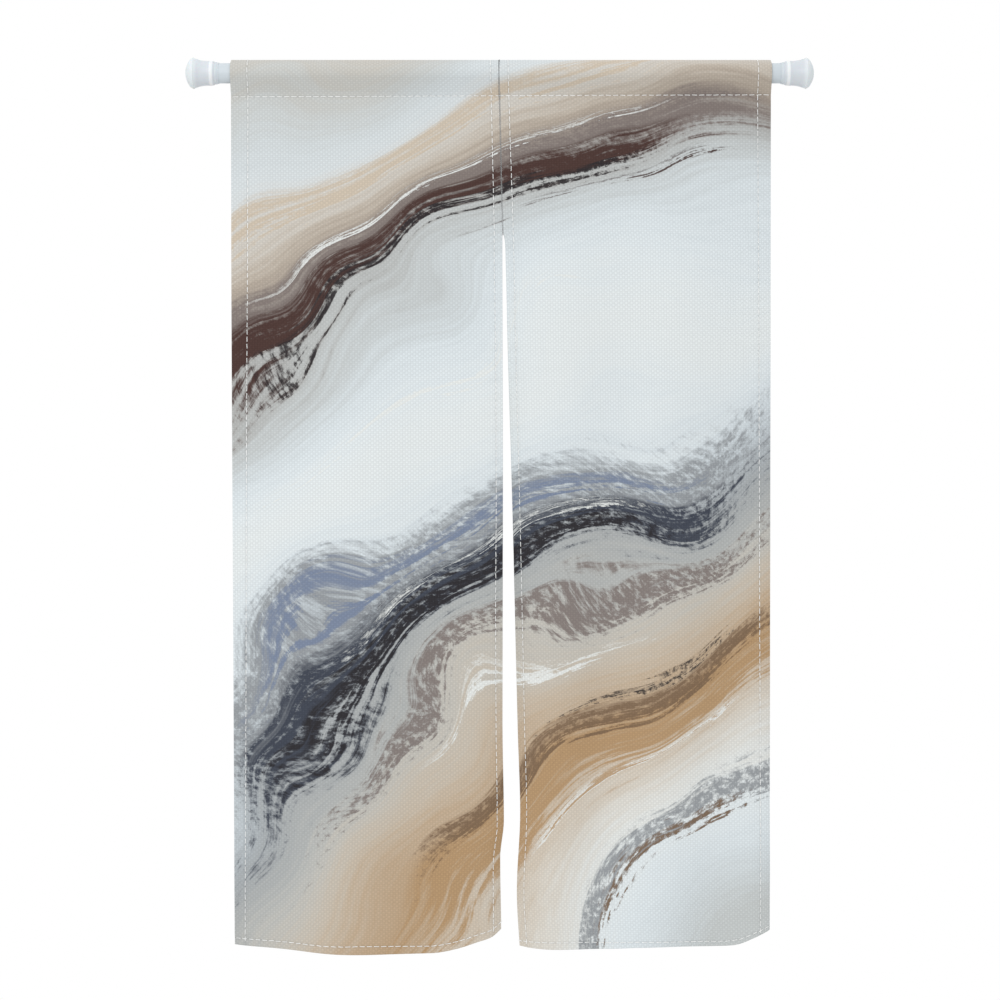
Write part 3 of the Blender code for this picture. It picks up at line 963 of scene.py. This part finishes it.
def printed_cloth():
    """Printed linen-look polyester: plain woven and matte, and paler where the ink shows through."""
    material, add, shader = new_material("printed_linen_look_polyester")
    cloth = settings("cloth")
    place, lines = (
        add("ShaderNodeAttribute", (), "Vector", attribute_name=name)
        for name in ("cloth_place", "from_stitching")
    )
    flat = add(VECTOR_MATHS, [place, (1.0, 1.0, 0.0)], operation="MULTIPLY")
    bare = add("ShaderNodeSeparateXYZ", [place], 2)

    # Plain weave: each crossing is a rounded bump, long along the thread that lies on top. The
    # real threads, about 0.5 mm, are too fine to show in the render, so they are drawn coarser.
    warps, wefts = 1 / cloth.warp_pitch, 1 / cloth.weft_pitch
    threads = add(VECTOR_MATHS, [flat, (warps, wefts, 0.0)], operation="MULTIPLY")
    waves = add(VECTOR_MATHS, [threads, (math.pi,) * 3], operation="MULTIPLY")
    for operation in ("SINE", "ABSOLUTE"):
        waves = add(VECTOR_MATHS, [waves], operation=operation)
    wave_x, wave_y, _ = add("ShaderNodeSeparateXYZ", [waves]).node.outputs
    top = add("ShaderNodeTexChecker", {"Vector": threads, "Scale": 1.0}, "Fac")
    bumps, slubs = [], []
    for wave_over, wave_along, stretch in (
        (wave_y, wave_x, (SLUB_SCALE, wefts, 0.0)),
        (wave_x, wave_y, (warps, SLUB_SCALE, 0.0)),
    ):
        over = add(MATHS, [wave_over, CROSSING_ROUND], operation="POWER")
        along = add(MATHS, [wave_along, CROSSING_LONG], operation="POWER")
        bumps.append(add(MATHS, [over, along], operation="MULTIPLY"))
        # Slubs: each thread varies slowly along its length, as spun yarn does.
        yarn = add(VECTOR_MATHS, [flat, stretch], operation="MULTIPLY")
        slubs.append(add(NOISE, {"Vector": yarn, "Scale": 0.7, "Detail": 2.0}))
    crossing, slub = (add(MIX, {0: top, 2: weft, 3: warp}) for weft, warp in (bumps, slubs))

    # The topstitching pulls the cloth into a shallow groove, pressed in by the bump and darkened by
    # painted shade.
    lines = add(VECTOR_MATHS, [lines], operation="ABSOLUTE")
    outer, inner, cross = add("ShaderNodeSeparateXYZ", [lines]).node.outputs
    nearest = add(MATHS, [outer, inner], operation="MINIMUM")
    nearest = add(MATHS, [nearest, cross], operation="MINIMUM")
    fall = [nearest, 0.0, GROOVE_REACH, 1.0, 0.0]
    groove_dip_and_shade = add(MAP_RANGE, fall, interpolation_type="SMOOTHSTEP")

    fade = add(MATHS, [bare, cloth.reverse_fade], operation="MULTIPLY")
    inputs = {0: fade, 6: printed_colour(add, flat), 7: cloth.undyed}
    colour = add(MIX, inputs, 2, data_type="RGBA")
    # The shades leave the print's own colour unchanged on average.
    even = 1 - MEAN_CROSSING * cloth.gap_painted_shade - (cloth.slub_shade + cloth.over_shade) / 2
    # Painted shade: the gaps between threads are darker, as shade falls in them. The paler upright
    # threads on top are the yarn's own tone.
    shade = add(MATHS, [crossing, cloth.gap_painted_shade, even], operation="MULTIPLY_ADD")
    shade = add(MATHS, [top, cloth.over_shade, shade], operation="MULTIPLY_ADD")
    relief = add(MATHS, [crossing, cloth.weave_relief], operation="MULTIPLY")
    # The slubs are the yarn's own tone; the stitch grooves get painted shade as well as their bump.
    for pattern, shading, depth in (
        (slub, cloth.slub_shade, SLUB_RELIEF),
        (groove_dip_and_shade, -GROOVE_PAINTED_SHADE, -GROOVE_DEPTH),
    ):
        shade = add(MATHS, [pattern, shading, shade], operation="MULTIPLY_ADD")
        relief = add(MATHS, [pattern, depth, relief], operation="MULTIPLY_ADD")
    bump = {"Height": relief, "Distance": 1.0, "Strength": 0.6}
    finish = {
        "Base Color": add(VECTOR_MATHS, {0: colour, "Scale": shade}, operation="SCALE"),
        "Normal": add("ShaderNodeBump", bump),
        "Roughness": add(MAP_RANGE, [crossing, 0.0, 1.0, 0.95, 0.82]),
        "Sheen Weight": 0.08,
        "Specular IOR Level": 0.3,
    }
    set_inputs(shader, finish)
    return material


# The sewing


def on_cloth(panel, width, drop, behind):
    """A point on the hanging cloth's face, or on its back, and the direction outwards there."""
    part = (drop - POCKET_STITCH) / (float(bottom_drop(panel, width)) - POCKET_STITCH)
    face, inward, _ = hang(panel, [width], part)
    if not behind:
        return face[0], -inward[0]
    layers = int(layers_at(panel, np.array([width]), part)[0])
    return face[0] + inward[0] * layers * settings("cloth").thickness, inward[0]


def round_pocket(panel, width, behind):
    """Points from the pocket's ridge down to its stitch line, and the directions outwards."""
    layer = settings("cloth").thickness
    section = pocket_section(2 * layer if in_side_hem(panel, width) else layer)[0]
    ridge = len(section) // 2
    half = section[ridge:] if behind else section[ridge::-1]
    outward = np.gradient(half, axis=0)[:, ::-1] * (-1, 1)
    from_middle = half + (0.0, POCKET_MIDDLE)
    outward *= np.sign(np.sum(outward * from_middle, axis=1))[:, None]
    outward /= np.linalg.norm(outward, axis=1)[:, None]
    points = pocket_points(panel, width, half)
    return list(zip(points, np.column_stack([np.zeros(len(half)), outward])))


def side_strand(panel, width_at, behind):
    """A stitch line down a side hem, from the pocket's ridge to the bottom hem's line."""
    strand = round_pocket(panel, width_at(0.0), behind)
    end = float(hem_line(panel, width_at(NOMINAL_DROP)))
    for drop in evenly(POCKET_STITCH + BELOW_POCKET, end, GUIDE_PITCH):
        strand.append(on_cloth(panel, width_at(drop), drop, behind))
    return strand


def cross_strand(panel, drop_at, behind):
    """A stitch line from side to side."""
    widths = evenly(SIDE_MARGIN, PANEL_WIDTH - SIDE_MARGIN, GUIDE_PITCH)
    return [on_cloth(panel, width, drop_at(width), behind) for width in widths]


def topstitch_strands(panel, behind):
    """All the stitch lines of one panel: both side hems, the pocket and the bottom hem."""
    return [
        side_strand(panel, lambda drop: stitch_inset(panel.outer_stitch, drop), behind),
        side_strand(
            panel, lambda drop: PANEL_WIDTH - stitch_inset(panel.inner_stitch, drop), behind
        ),
        cross_strand(panel, lambda width: float(pocket_line(panel, width)), behind),
        cross_strand(panel, lambda width: float(hem_line(panel, width)), behind),
    ]


def seam_strand(behind):
    """The seam between the panels, from the pocket's ridge down to the start of the slit."""
    strands = []
    for panel in PANELS:
        strand = round_pocket(panel, PANEL_WIDTH, behind)
        for drop in evenly(POCKET_STITCH + BELOW_POCKET, SLIT_START, GUIDE_PITCH):
            strand.append(on_cloth(panel, PANEL_WIDTH, drop, behind))
        strands.append(strand)
    return [
        ((left + right) / 2, (left_out + right_out) / 2)
        for (left, left_out), (right, right_out) in zip(*strands)
    ]


def guide_mesh(strands, skip, rise, way=None):
    """A mesh of lines to sew along, each of its points with the stitch's way and outwards.

    Each line begins this far along its strand, and stands up from it by the rise. The way is
    along the line unless it is given.
    """
    points, ways, outwards, edges = [], [], [], []
    for strand in strands:
        places = np.array([point for point, _ in strand])
        outward = np.array([out for _, out in strand])
        run = np.concatenate([[0], np.cumsum(np.linalg.norm(np.diff(places, axis=0), axis=1))])
        at = evenly(skip, run[-1], GUIDE_PITCH)
        places, outward = (
            np.column_stack([np.interp(at, run, column) for column in values.T])
            for values in (places, outward)
        )
        first = len(points)
        edges += [(first + k, first + k + 1) for k in range(len(at) - 1)]
        points += list(places + outward * rise)
        outwards += list(outward)
        ways += list(np.gradient(places, axis=0)) if way is None else [way] * len(at)
    mesh = bpy.data.meshes.new("guide")
    mesh.from_pydata([tuple(point) for point in points], edges, [])
    store_vectors(mesh, "stitch_way", ways)
    store_vectors(mesh, "outwards", outwards)
    return mesh


def sewing_tree():
    """Geometry nodes that sew even stitches along the lines of a guide mesh."""
    tree = bpy.data.node_groups.new("sewn_stitches", "GeometryNodeTree")
    add = partial(add_node, tree)
    given_sizes = {name: "Float" for name in ("Pitch", "Length", "Width", "Height", "Unevenness")}
    kinds = {"Guide": "Geometry", **given_sizes, "Seed": "Int", "Thread": "Material"}
    for name, kind in kinds.items():
        tree.interface.new_socket(name, in_out="INPUT", socket_type="NodeSocket" + kind)
    tree.interface.new_socket("Stitches", in_out="OUTPUT", socket_type="NodeSocketGeometry")
    given = tree.nodes.new("NodeGroupInput").outputs

    # One stitch, a unit long: a strand of thread that narrows where it dives into the cloth.
    along = [(x, 0.0, 0.0) for x in (-0.5, -0.3, 0.3, 0.5)]
    strand = add("GeometryNodeCurvePrimitiveBezierSegment", [THREAD_STEPS, *along], mode="POSITION")
    narrow = add("GeometryNodeSplineParameter")
    narrow = add(MATHS, [narrow, 0.5], operation="SUBTRACT")
    narrow = add(MATHS, [narrow], operation="ABSOLUTE")
    narrow = add(MAP_RANGE, [narrow, 0.30, 0.5, 1.0, 0.35])
    ring = add("GeometryNodeCurvePrimitiveCircle", {"Resolution": THREAD_SIDES, "Radius": 0.5})
    swept = {"Curve": strand, "Profile Curve": ring, "Scale": narrow, "Fill Caps": True}
    stitch = add("GeometryNodeCurveToMesh", swept)

    # Stitches lie one pitch apart, each turned and lengthened a little by chance.
    lines = add("GeometryNodeMeshToCurve", [given["Guide"]])
    spaced = {"Curve": lines, "Length": given["Pitch"]}
    lines = add("GeometryNodeResampleCurve", spaced, mode="LENGTH")
    way, out = (
        add("GeometryNodeInputNamedAttribute", [name], data_type="FLOAT_VECTOR")
        for name in ("stitch_way", "outwards")
    )
    axes = {"primary_axis": "X", "secondary_axis": "Z"}
    turned = add("FunctionNodeAxesToRotation", [way, out], **axes)
    less = add(MATHS, [given["Unevenness"], -1.0], operation="MULTIPLY")
    chances = []
    for step in (0.0, 1.0):
        seed = add(MATHS, [given["Seed"], step], operation="ADD")
        chance = {2: less, 3: given["Unevenness"], "Seed": seed}
        chances.append(add("FunctionNodeRandomValue", chance, 1, data_type="FLOAT"))
    askew, longer = chances
    askew = add("FunctionNodeAxisAngleToRotation", [(0, 0, 1), askew])
    turned = add("FunctionNodeRotateRotation", [turned, askew], rotation_space="LOCAL")
    longer = add(MATHS, [longer, 1.0], operation="ADD")
    length = add(MATHS, [given["Length"], longer], operation="MULTIPLY")
    size = add("ShaderNodeCombineXYZ", [length, given["Width"], given["Height"]])
    placed = {"Points": lines, "Instance": stitch, "Rotation": turned, "Scale": size}
    sewn = add("GeometryNodeInstanceOnPoints", placed)
    sewn = add("GeometryNodeRealizeInstances", [sewn])
    sewn = add("GeometryNodeSetShadeSmooth", {"Geometry": sewn, "Shade Smooth": True})
    sewn = add("GeometryNodeSetMaterial", {"Geometry": sewn, "Material": given["Thread"]})
    set_inputs(tree.nodes.new("NodeGroupOutput"), [sewn])
    return tree


def sewn_mesh(guide, tree, sizes):
    """The stitches along a guide mesh, as a plain mesh. Sizes are the tree's inputs by name."""
    line = bpy.data.objects.new("guide", guide)
    bpy.context.scene.collection.objects.link(line)
    modifier = line.modifiers.new("sewing", "NODES")
    modifier.node_group = tree
    for item in tree.interface.items_tree:
        if item.in_out == "INPUT" and item.name in sizes:
            modifier[item.identifier] = sizes[item.name]
    graph = bpy.context.evaluated_depsgraph_get()
    mesh = bpy.data.meshes.new_from_object(line.evaluated_get(graph))
    line.modifiers.remove(modifier)
    bpy.data.objects.remove(line)
    bpy.data.meshes.remove(guide)
    return mesh


def add_stitches(name, faces, thread, pitch, width):
    """A piece of stitches on both faces of the cloth.

    Faces are each face's guide mesh, with its stitches' length and seed.
    """
    shape, tree, sewing = bmesh.new(), sewing_tree(), settings("sewing")
    for guide, length, seed in faces:
        sizes = {
            "Pitch": pitch,
            "Length": length,
            "Width": width,
            "Height": sewing.thread_height,
            "Unevenness": sewing.unevenness,
            "Seed": seed,
            "Thread": thread,
        }
        mesh = sewn_mesh(guide, tree, sizes)
        shape.from_mesh(mesh)
        bpy.data.meshes.remove(mesh)
    return add_piece(name, mesh_of(name, shape), thread)


def spun_polyester(name, colour):
    """Spun polyester sewing thread: soft sheen on twisted plies."""
    material, add, shader = new_material(name)
    place = add("ShaderNodeTexCoord", (), "Object")
    # Plies of the twisted thread cross it on the slant, about 0.8 mm apart.
    twist = {"Vector": place, "Scale": 60.0, "Distortion": 1.5, "Detail": 2.0}
    plies = add("ShaderNodeTexWave", twist, "Fac", bands_direction="DIAGONAL")
    # Painted shade: the grooves between the plies are darker, and their crests a little paler.
    shade = add(MAP_RANGE, [plies, 0.0, 1.0, 0.90, 1.02])
    finish = {
        "Base Color": add(VECTOR_MATHS, {0: colour[:3], "Scale": shade}, operation="SCALE"),
        "Normal": add("ShaderNodeBump", {"Height": plies, "Distance": 0.0002, "Strength": 0.6}),
        "Roughness": 0.6,
        "Sheen Weight": 0.15,
    }
    set_inputs(shader, finish)
    return material


# The rod and its end caps


def turned_mesh(name, profile, closed):
    """A profile of (distance along the rod, radius) points turned round the rod's axis."""
    shape = bmesh.new()
    points = [shape.verts.new((x, 0.0, radius)) for x, radius in profile]
    ends = points[1:] + points[:1] if closed else points[1:]
    edges = [shape.edges.new((near, far)) for near, far in zip(points, ends)]
    bmesh.ops.spin(
        shape,
        geom=points + edges,
        axis=(1.0, 0.0, 0.0),
        angle=2 * math.pi,
        steps=settings("rod").sides,
        use_merge=True,
    )
    bmesh.ops.remove_doubles(shape, verts=shape.verts[:], dist=0.00001)
    bmesh.ops.recalc_face_normals(shape, faces=shape.faces[:])
    mesh = mesh_of(name, shape)
    mesh.shade_smooth()
    mesh.set_sharp_from_angle(angle=math.radians(40))
    return mesh


def tube_profile():
    """The tube's wall, with a small bevel at each end inside its cap."""
    inside, bevel = ROD_RADIUS - ROD_WALL, ROD_WALL / 4
    return [
        (ROD_END, inside),
        (ROD_END, ROD_RADIUS - bevel),
        (ROD_END - bevel, ROD_RADIUS),
        (ROD_START + bevel, ROD_RADIUS),
        (ROD_START, ROD_RADIUS - bevel),
        (ROD_START, inside),
    ]


def cap_profile():
    """(distance from the wall face, radius) points, from the face's middle round to the socket's."""
    profile = [(0.0, 0.0)]
    pitch = CAP_PAD_RADIUS / GRIP_RINGS
    for ring in range(GRIP_RINGS):
        for share, depth in ((0.25, 0.0), (0.4, 1.0), (0.75, 1.0), (0.9, 0.0)):
            profile.append((GRIP_RING_DEPTH * depth, pitch * (ring + share)))
    pad = math.sqrt(CAP_SPHERE_RADIUS**2 - CAP_PAD_RADIUS**2)
    for radius in np.linspace(CAP_PAD_RADIUS, CAP_DOME_RADIUS, CAP_DOME_STEPS + 1):
        profile.append((pad - math.sqrt(CAP_SPHERE_RADIUS**2 - radius**2), float(radius)))
    distances, radii = zip(*CAP_OUTLINE)
    for x in np.linspace(distances[0], distances[-1], CAP_OUTLINE_STEPS + 1):
        profile.append((float(x), float(smooth_through(distances, radii, x))))
    bore = ROD_RADIUS + PIECE_GAP
    return profile + [(CAP_LENGTH, bore), (CAP_SOCKET_END, bore), (CAP_SOCKET_END, 0.0)]


def enamelled_steel():
    """White enamel baked on a steel tube: an even satin with faint drag marks along it."""
    material, add, shader = new_material("baked_white_enamel")
    place = add("ShaderNodeTexCoord", (), "Object")
    along = add(VECTOR_MATHS, [place, (6.0, 420.0, 420.0)], operation="MULTIPLY")
    marks = add(NOISE, {"Vector": along, "Scale": 1.0, "Detail": 3.0})
    peel = add(NOISE, {"Vector": place, "Scale": 450.0, "Detail": 1.0})
    tone = add(MAP_RANGE, [marks, 0.3, 0.7, 0.97, 1.0])
    enamel = {0: settings("rod").enamel[:3], "Scale": tone}
    finish = {
        "Base Color": add(VECTOR_MATHS, enamel, operation="SCALE"),
        "Normal": add("ShaderNodeBump", {"Height": peel, "Distance": 0.00004, "Strength": 0.5}),
        "Roughness": add(MAP_RANGE, [marks, 0.3, 0.75, 0.42, 0.52]),
    }
    set_inputs(shader, finish)
    return material


def moulded_plastic():
    """Injection-moulded white polypropylene: satin, finely grained, with its mould's parting line,
    and painted highlights as paler bands on the dome and the shoulder's ring.
    """
    material, add, shader = new_material("moulded_white_polypropylene")
    place = add("ShaderNodeTexCoord", (), "Object")
    grain = add(NOISE, {"Vector": place, "Scale": 1600.0, "Detail": 2.0})
    cloudy = add(NOISE, {"Vector": place, "Scale": 45.0, "Detail": 2.0})
    tone = add(MAP_RANGE, [cloudy, 0.3, 0.7, 0.985, 1.0])
    from_left, aside, _ = add("ShaderNodeSeparateXYZ", [place]).node.outputs
    from_right = add(MATHS, [ROD_SPAN, from_left], operation="SUBTRACT")
    from_wall = add(MATHS, [from_left, from_right], operation="MINIMUM")
    from_wall = add(MAP_RANGE, [from_wall, 0.0, CAP_LENGTH])
    # Painted highlights: the dome and the ring on the shoulder are painted paler, as light catches
    # them there.
    banded_tone_and_highlights = add("ShaderNodeValToRGB", [from_wall])
    colours, ramp = settings("rod"), banded_tone_and_highlights.node.color_ramp
    ramp.elements[0].color = colours.dome
    ramp.elements[1].color = colours.collar
    for tone_at in CAP_TONES_AND_HIGHLIGHTS:
        stop = ramp.elements.new(tone_at.distance / CAP_LENGTH)
        stop.color = getattr(colours, tone_at.colour)
    # The two halves of the mould met in the rod's upright plane, which left a hair-fine ridge.
    aside = add(MATHS, [aside], operation="ABSOLUTE")
    parting = add(MAP_RANGE, [aside, 0.0, 0.00035, 0.00008, 0.0])
    height = add(MATHS, [grain, 0.00003, parting], operation="MULTIPLY_ADD")
    finish = {
        "Base Color": add(VECTOR_MATHS, {0: banded_tone_and_highlights, "Scale": tone}, operation="SCALE"),
        "Normal": add("ShaderNodeBump", {"Height": height, "Distance": 1.0, "Strength": 0.7}),
        "Roughness": add(MAP_RANGE, [grain, 0.3, 0.7, 0.34, 0.46]),
        "IOR": 1.49,
        "Subsurface Weight": 0.05,
        "Subsurface Scale": 0.003,
    }
    set_inputs(shader, finish)
    return material


# The studio


def matte_floor(centre, radius):
    """Matte paint that fades at the floor's round edge into the white round it."""
    material, add, shader = new_material("matte_floor_paint")
    paint = {
        "Base Color": settings("stage").floor,
        "Roughness": 0.9,
        "Specular IOR Level": 0.1,
    }
    set_inputs(shader, paint)
    place = add("ShaderNodeTexCoord", (), "Object")
    reach = add(VECTOR_MATHS, [place, centre], operation="SUBTRACT")
    reach = add(VECTOR_MATHS, [reach], "Value", operation="LENGTH")
    edge = [reach, 0.45 * radius, 0.97 * radius]
    fade = add(MAP_RANGE, edge, interpolation_type="SMOOTHSTEP")
    white = add("ShaderNodeEmission", {"Strength": 1.0})
    blend = add("ShaderNodeMixShader", [fade, shader.outputs[0], white])
    set_inputs(material.node_tree.nodes["Material Output"], {"Surface": blend})
    return material


def light_studio():
    """White light from all round, weaker from below, and one large soft lamp at the upper left."""
    stage = settings("stage")
    world = bpy.data.worlds.new("white_studio")
    world.use_nodes = True
    tree = world.node_tree
    add = partial(add_node, tree)
    white = (1.0, 1.0, 1.0, 1.0)
    seen = tree.nodes["Background"]
    set_inputs(seen, {"Color": white, "Strength": 1.0})
    way = add("ShaderNodeTexCoord", (), "Generated")
    height = add("ShaderNodeSeparateXYZ", [way], "Z")
    strength = add(MAP_RANGE, [height, -1.0, 1.0, stage.fill_below, stage.fill_above])
    fill = add("ShaderNodeBackground", [white, strength])
    straight = add("ShaderNodeLightPath", (), "Is Camera Ray")
    mixed = add("ShaderNodeMixShader", [straight, fill, seen.outputs[0]])
    set_inputs(tree.nodes["World Output"], {"Surface": mixed})
    bpy.context.scene.world = world
    lamp = bpy.data.lights.new("soft_key", "AREA")
    lamp.shape = "DISK"
    lamp.size = LAMP_SIZE
    lamp.energy = stage.key
    key = bpy.data.objects.new("soft_key", lamp)
    middle = Vector((ROD_SPAN / 2, 0.0, 0.0))
    key.location = middle + Vector(LAMP_PLACE)
    aim = middle - Vector((0.0, 0.0, NOMINAL_DROP / 2)) - key.location
    key.rotation_euler = aim.to_track_quat("-Z", "Y").to_euler()
    bpy.context.scene.collection.objects.link(key)


def aim_camera():
    """The photo's own view: square on to the cloth, from the distance that its frame gives."""
    photo = bpy.data.cameras.new("photo_view")
    photo.lens = settings("stage").lens
    across_frame = PHOTO_PIXELS * PIXEL
    camera = bpy.data.objects.new("photo_view", photo)
    camera.location = (
        (PHOTO_PIXELS / 2 - LEFT_WALL_PIXEL) * PIXEL,
        -across_frame * photo.lens / photo.sensor_width,
        (ROD_AXIS_PIXEL - PHOTO_PIXELS / 2) * PIXEL,
    )
    camera.rotation_euler = (math.pi / 2, 0.0, 0.0)
    bpy.context.scene.collection.objects.link(camera)
    bpy.context.scene.camera = camera


class NOREN_OT_hang_panels(bpy.types.Operator):
    """Hang the two printed and hemmed cloth panels"""

    bl_idname = "noren.hang_panels"
    bl_label = "Hang the cloth panels"

    def execute(self, context):
        cloth = printed_cloth()
        for panel in PANELS:
            mesh, cut_length = panel_mesh(panel)
            piece = add_piece(panel.name, mesh, cloth)
            piece["cut_width"] = PANEL_WIDTH + panel.outer_hem + panel.inner_hem
            piece["cut_length"] = float(cut_length)
            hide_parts(panel.node)
        return {"FINISHED"}


class NOREN_OT_sew_topstitching(bpy.types.Operator):
    """Sew the white topstitching of the pockets and hems"""

    bl_idname = "noren.sew_topstitching"
    bl_label = "Sew the topstitching"

    def execute(self, context):
        sewing = settings("sewing")
        thread = spun_polyester("white_spun_polyester", sewing.thread)
        for number, panel in enumerate(PANELS):
            faces = []
            for behind, length in enumerate((sewing.face_length, sewing.back_length)):
                skip = sewing.pitch if behind else sewing.pitch / 2
                guide = guide_mesh(topstitch_strands(panel, behind), skip, THREAD_RISE)
                faces.append((guide, length, 10 * number + 5 * behind))
            name = panel.name.replace("cloth_panel", "topstitching")
            piece = add_stitches(name, faces, thread, sewing.pitch, sewing.thread_width)
        return {"FINISHED"}


class NOREN_OT_sew_seam(bpy.types.Operator):
    """Sew the seam that joins the panels above their slit, its grey thread darkened as the seam's
    painted shade
    """

    bl_idname = "noren.sew_seam"
    bl_label = "Sew the seam"

    def execute(self, context):
        sewing = settings("sewing")
        thread = spun_polyester("grey_spun_polyester", sewing.seam_thread_and_shadow)
        way = (1.0, 0.0, SEAM_SLANT)
        faces = []
        for behind in (False, True):
            guide = guide_mesh([seam_strand(behind)], 0.0, SEAM_RISE, way)
            faces.append((guide, sewing.seam_length, SEAM_SEED))
        add_stitches("seam_stitches", faces, thread, sewing.seam_pitch, sewing.seam_width)
        return {"FINISHED"}


class NOREN_OT_make_tube(bpy.types.Operator):
    """Make the rod's enamelled tube"""

    bl_idname = "noren.make_tube"
    bl_label = "Make the rod's tube"

    def execute(self, context):
        mesh = turned_mesh("rod_enamelled_tube", tube_profile(), True)
        piece = add_piece("rod_enamelled_tube", mesh, enamelled_steel())
        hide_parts("rod_tube")
        return {"FINISHED"}


class NOREN_OT_make_caps(bpy.types.Operator):
    """Make the moulded end caps that press on the walls"""

    bl_idname = "noren.make_caps"
    bl_label = "Make the end caps"

    def execute(self, context):
        plastic = moulded_plastic()
        left = cap_profile()
        right = [(ROD_SPAN - x, radius) for x, radius in left]
        for side, profile in (("left", left), ("right", right)):
            mesh = turned_mesh("moulded_cap_" + side, profile, False)
            piece = add_piece("moulded_cap_" + side, mesh, plastic)
            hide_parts("end_cap_" + side)
        return {"FINISHED"}


class NOREN_OT_set_stage(bpy.types.Operator):
    """Lay the floor, and set the light and the camera"""

    bl_idname = "noren.set_stage"
    bl_label = "Set the stage"

    def execute(self, context):
        stage = settings("stage")
        centre = (ROD_SPAN / 2, 0.0, -stage.floor_drop)
        shape = bmesh.new()
        bmesh.ops.create_circle(shape, cap_ends=True, segments=128, radius=stage.floor_radius)
        bmesh.ops.translate(shape, verts=shape.verts[:], vec=centre)
        mesh = mesh_of("studio_floor", shape)
        mesh.materials.append(matte_floor(centre, stage.floor_radius))
        floor = bpy.data.objects.new("studio_floor", mesh)
        context.scene.collection.objects.link(floor)
        light_studio()
        aim_camera()
        context.scene.view_settings.view_transform = "Standard"
        return {"FINISHED"}


OPERATORS = (
    NOREN_OT_make_tube,
    NOREN_OT_make_caps,
    NOREN_OT_hang_panels,
    NOREN_OT_sew_topstitching,
    NOREN_OT_sew_seam,
    NOREN_OT_set_stage,
)

SETTINGS = {
    "noren_cloth": NorenClothSettings,
    "noren_print": NorenPrintSettings,
    "noren_sewing": NorenSewingSettings,
    "noren_rod": NorenRodSettings,
    "noren_stage": NorenStageSettings,
}


class NOREN_PT_curtain(bpy.types.Panel):
    """Lists the curtain's settings and the steps that make it"""

    bl_idname = "NOREN_PT_curtain"
    bl_label = "Noren curtain"
    bl_space_type = "VIEW_3D"
    bl_region_type = "UI"
    bl_category = "Noren"

    def draw(self, context):
        for step in OPERATORS:
            self.layout.operator(step.bl_idname)
        for name, group in SETTINGS.items():
            box = self.layout.box()
            box.label(text=name.removeprefix("noren_").capitalize())
            for prop in group.__annotations__:
                box.prop(getattr(context.scene, name), prop)


def register():
    for group in SETTINGS.values():
        bpy.utils.register_class(group)
    for name, group in SETTINGS.items():
        setattr(bpy.types.Scene, name, bpy.props.PointerProperty(type=group))
    for shown in (*OPERATORS, NOREN_PT_curtain):
        bpy.utils.register_class(shown)


def unregister():
    for shown in (NOREN_PT_curtain, *reversed(OPERATORS)):
        bpy.utils.unregister_class(shown)
    for name in SETTINGS:
        delattr(bpy.types.Scene, name)
    for group in SETTINGS.values():
        bpy.utils.unregister_class(group)


def main():
    register()
    bpy.ops.noren.make_tube()
    bpy.ops.noren.make_caps()
    bpy.ops.noren.hang_panels()
    bpy.ops.noren.sew_topstitching()
    bpy.ops.noren.sew_seam()
    bpy.ops.noren.set_stage()


if __name__ == "__main__":
    main()
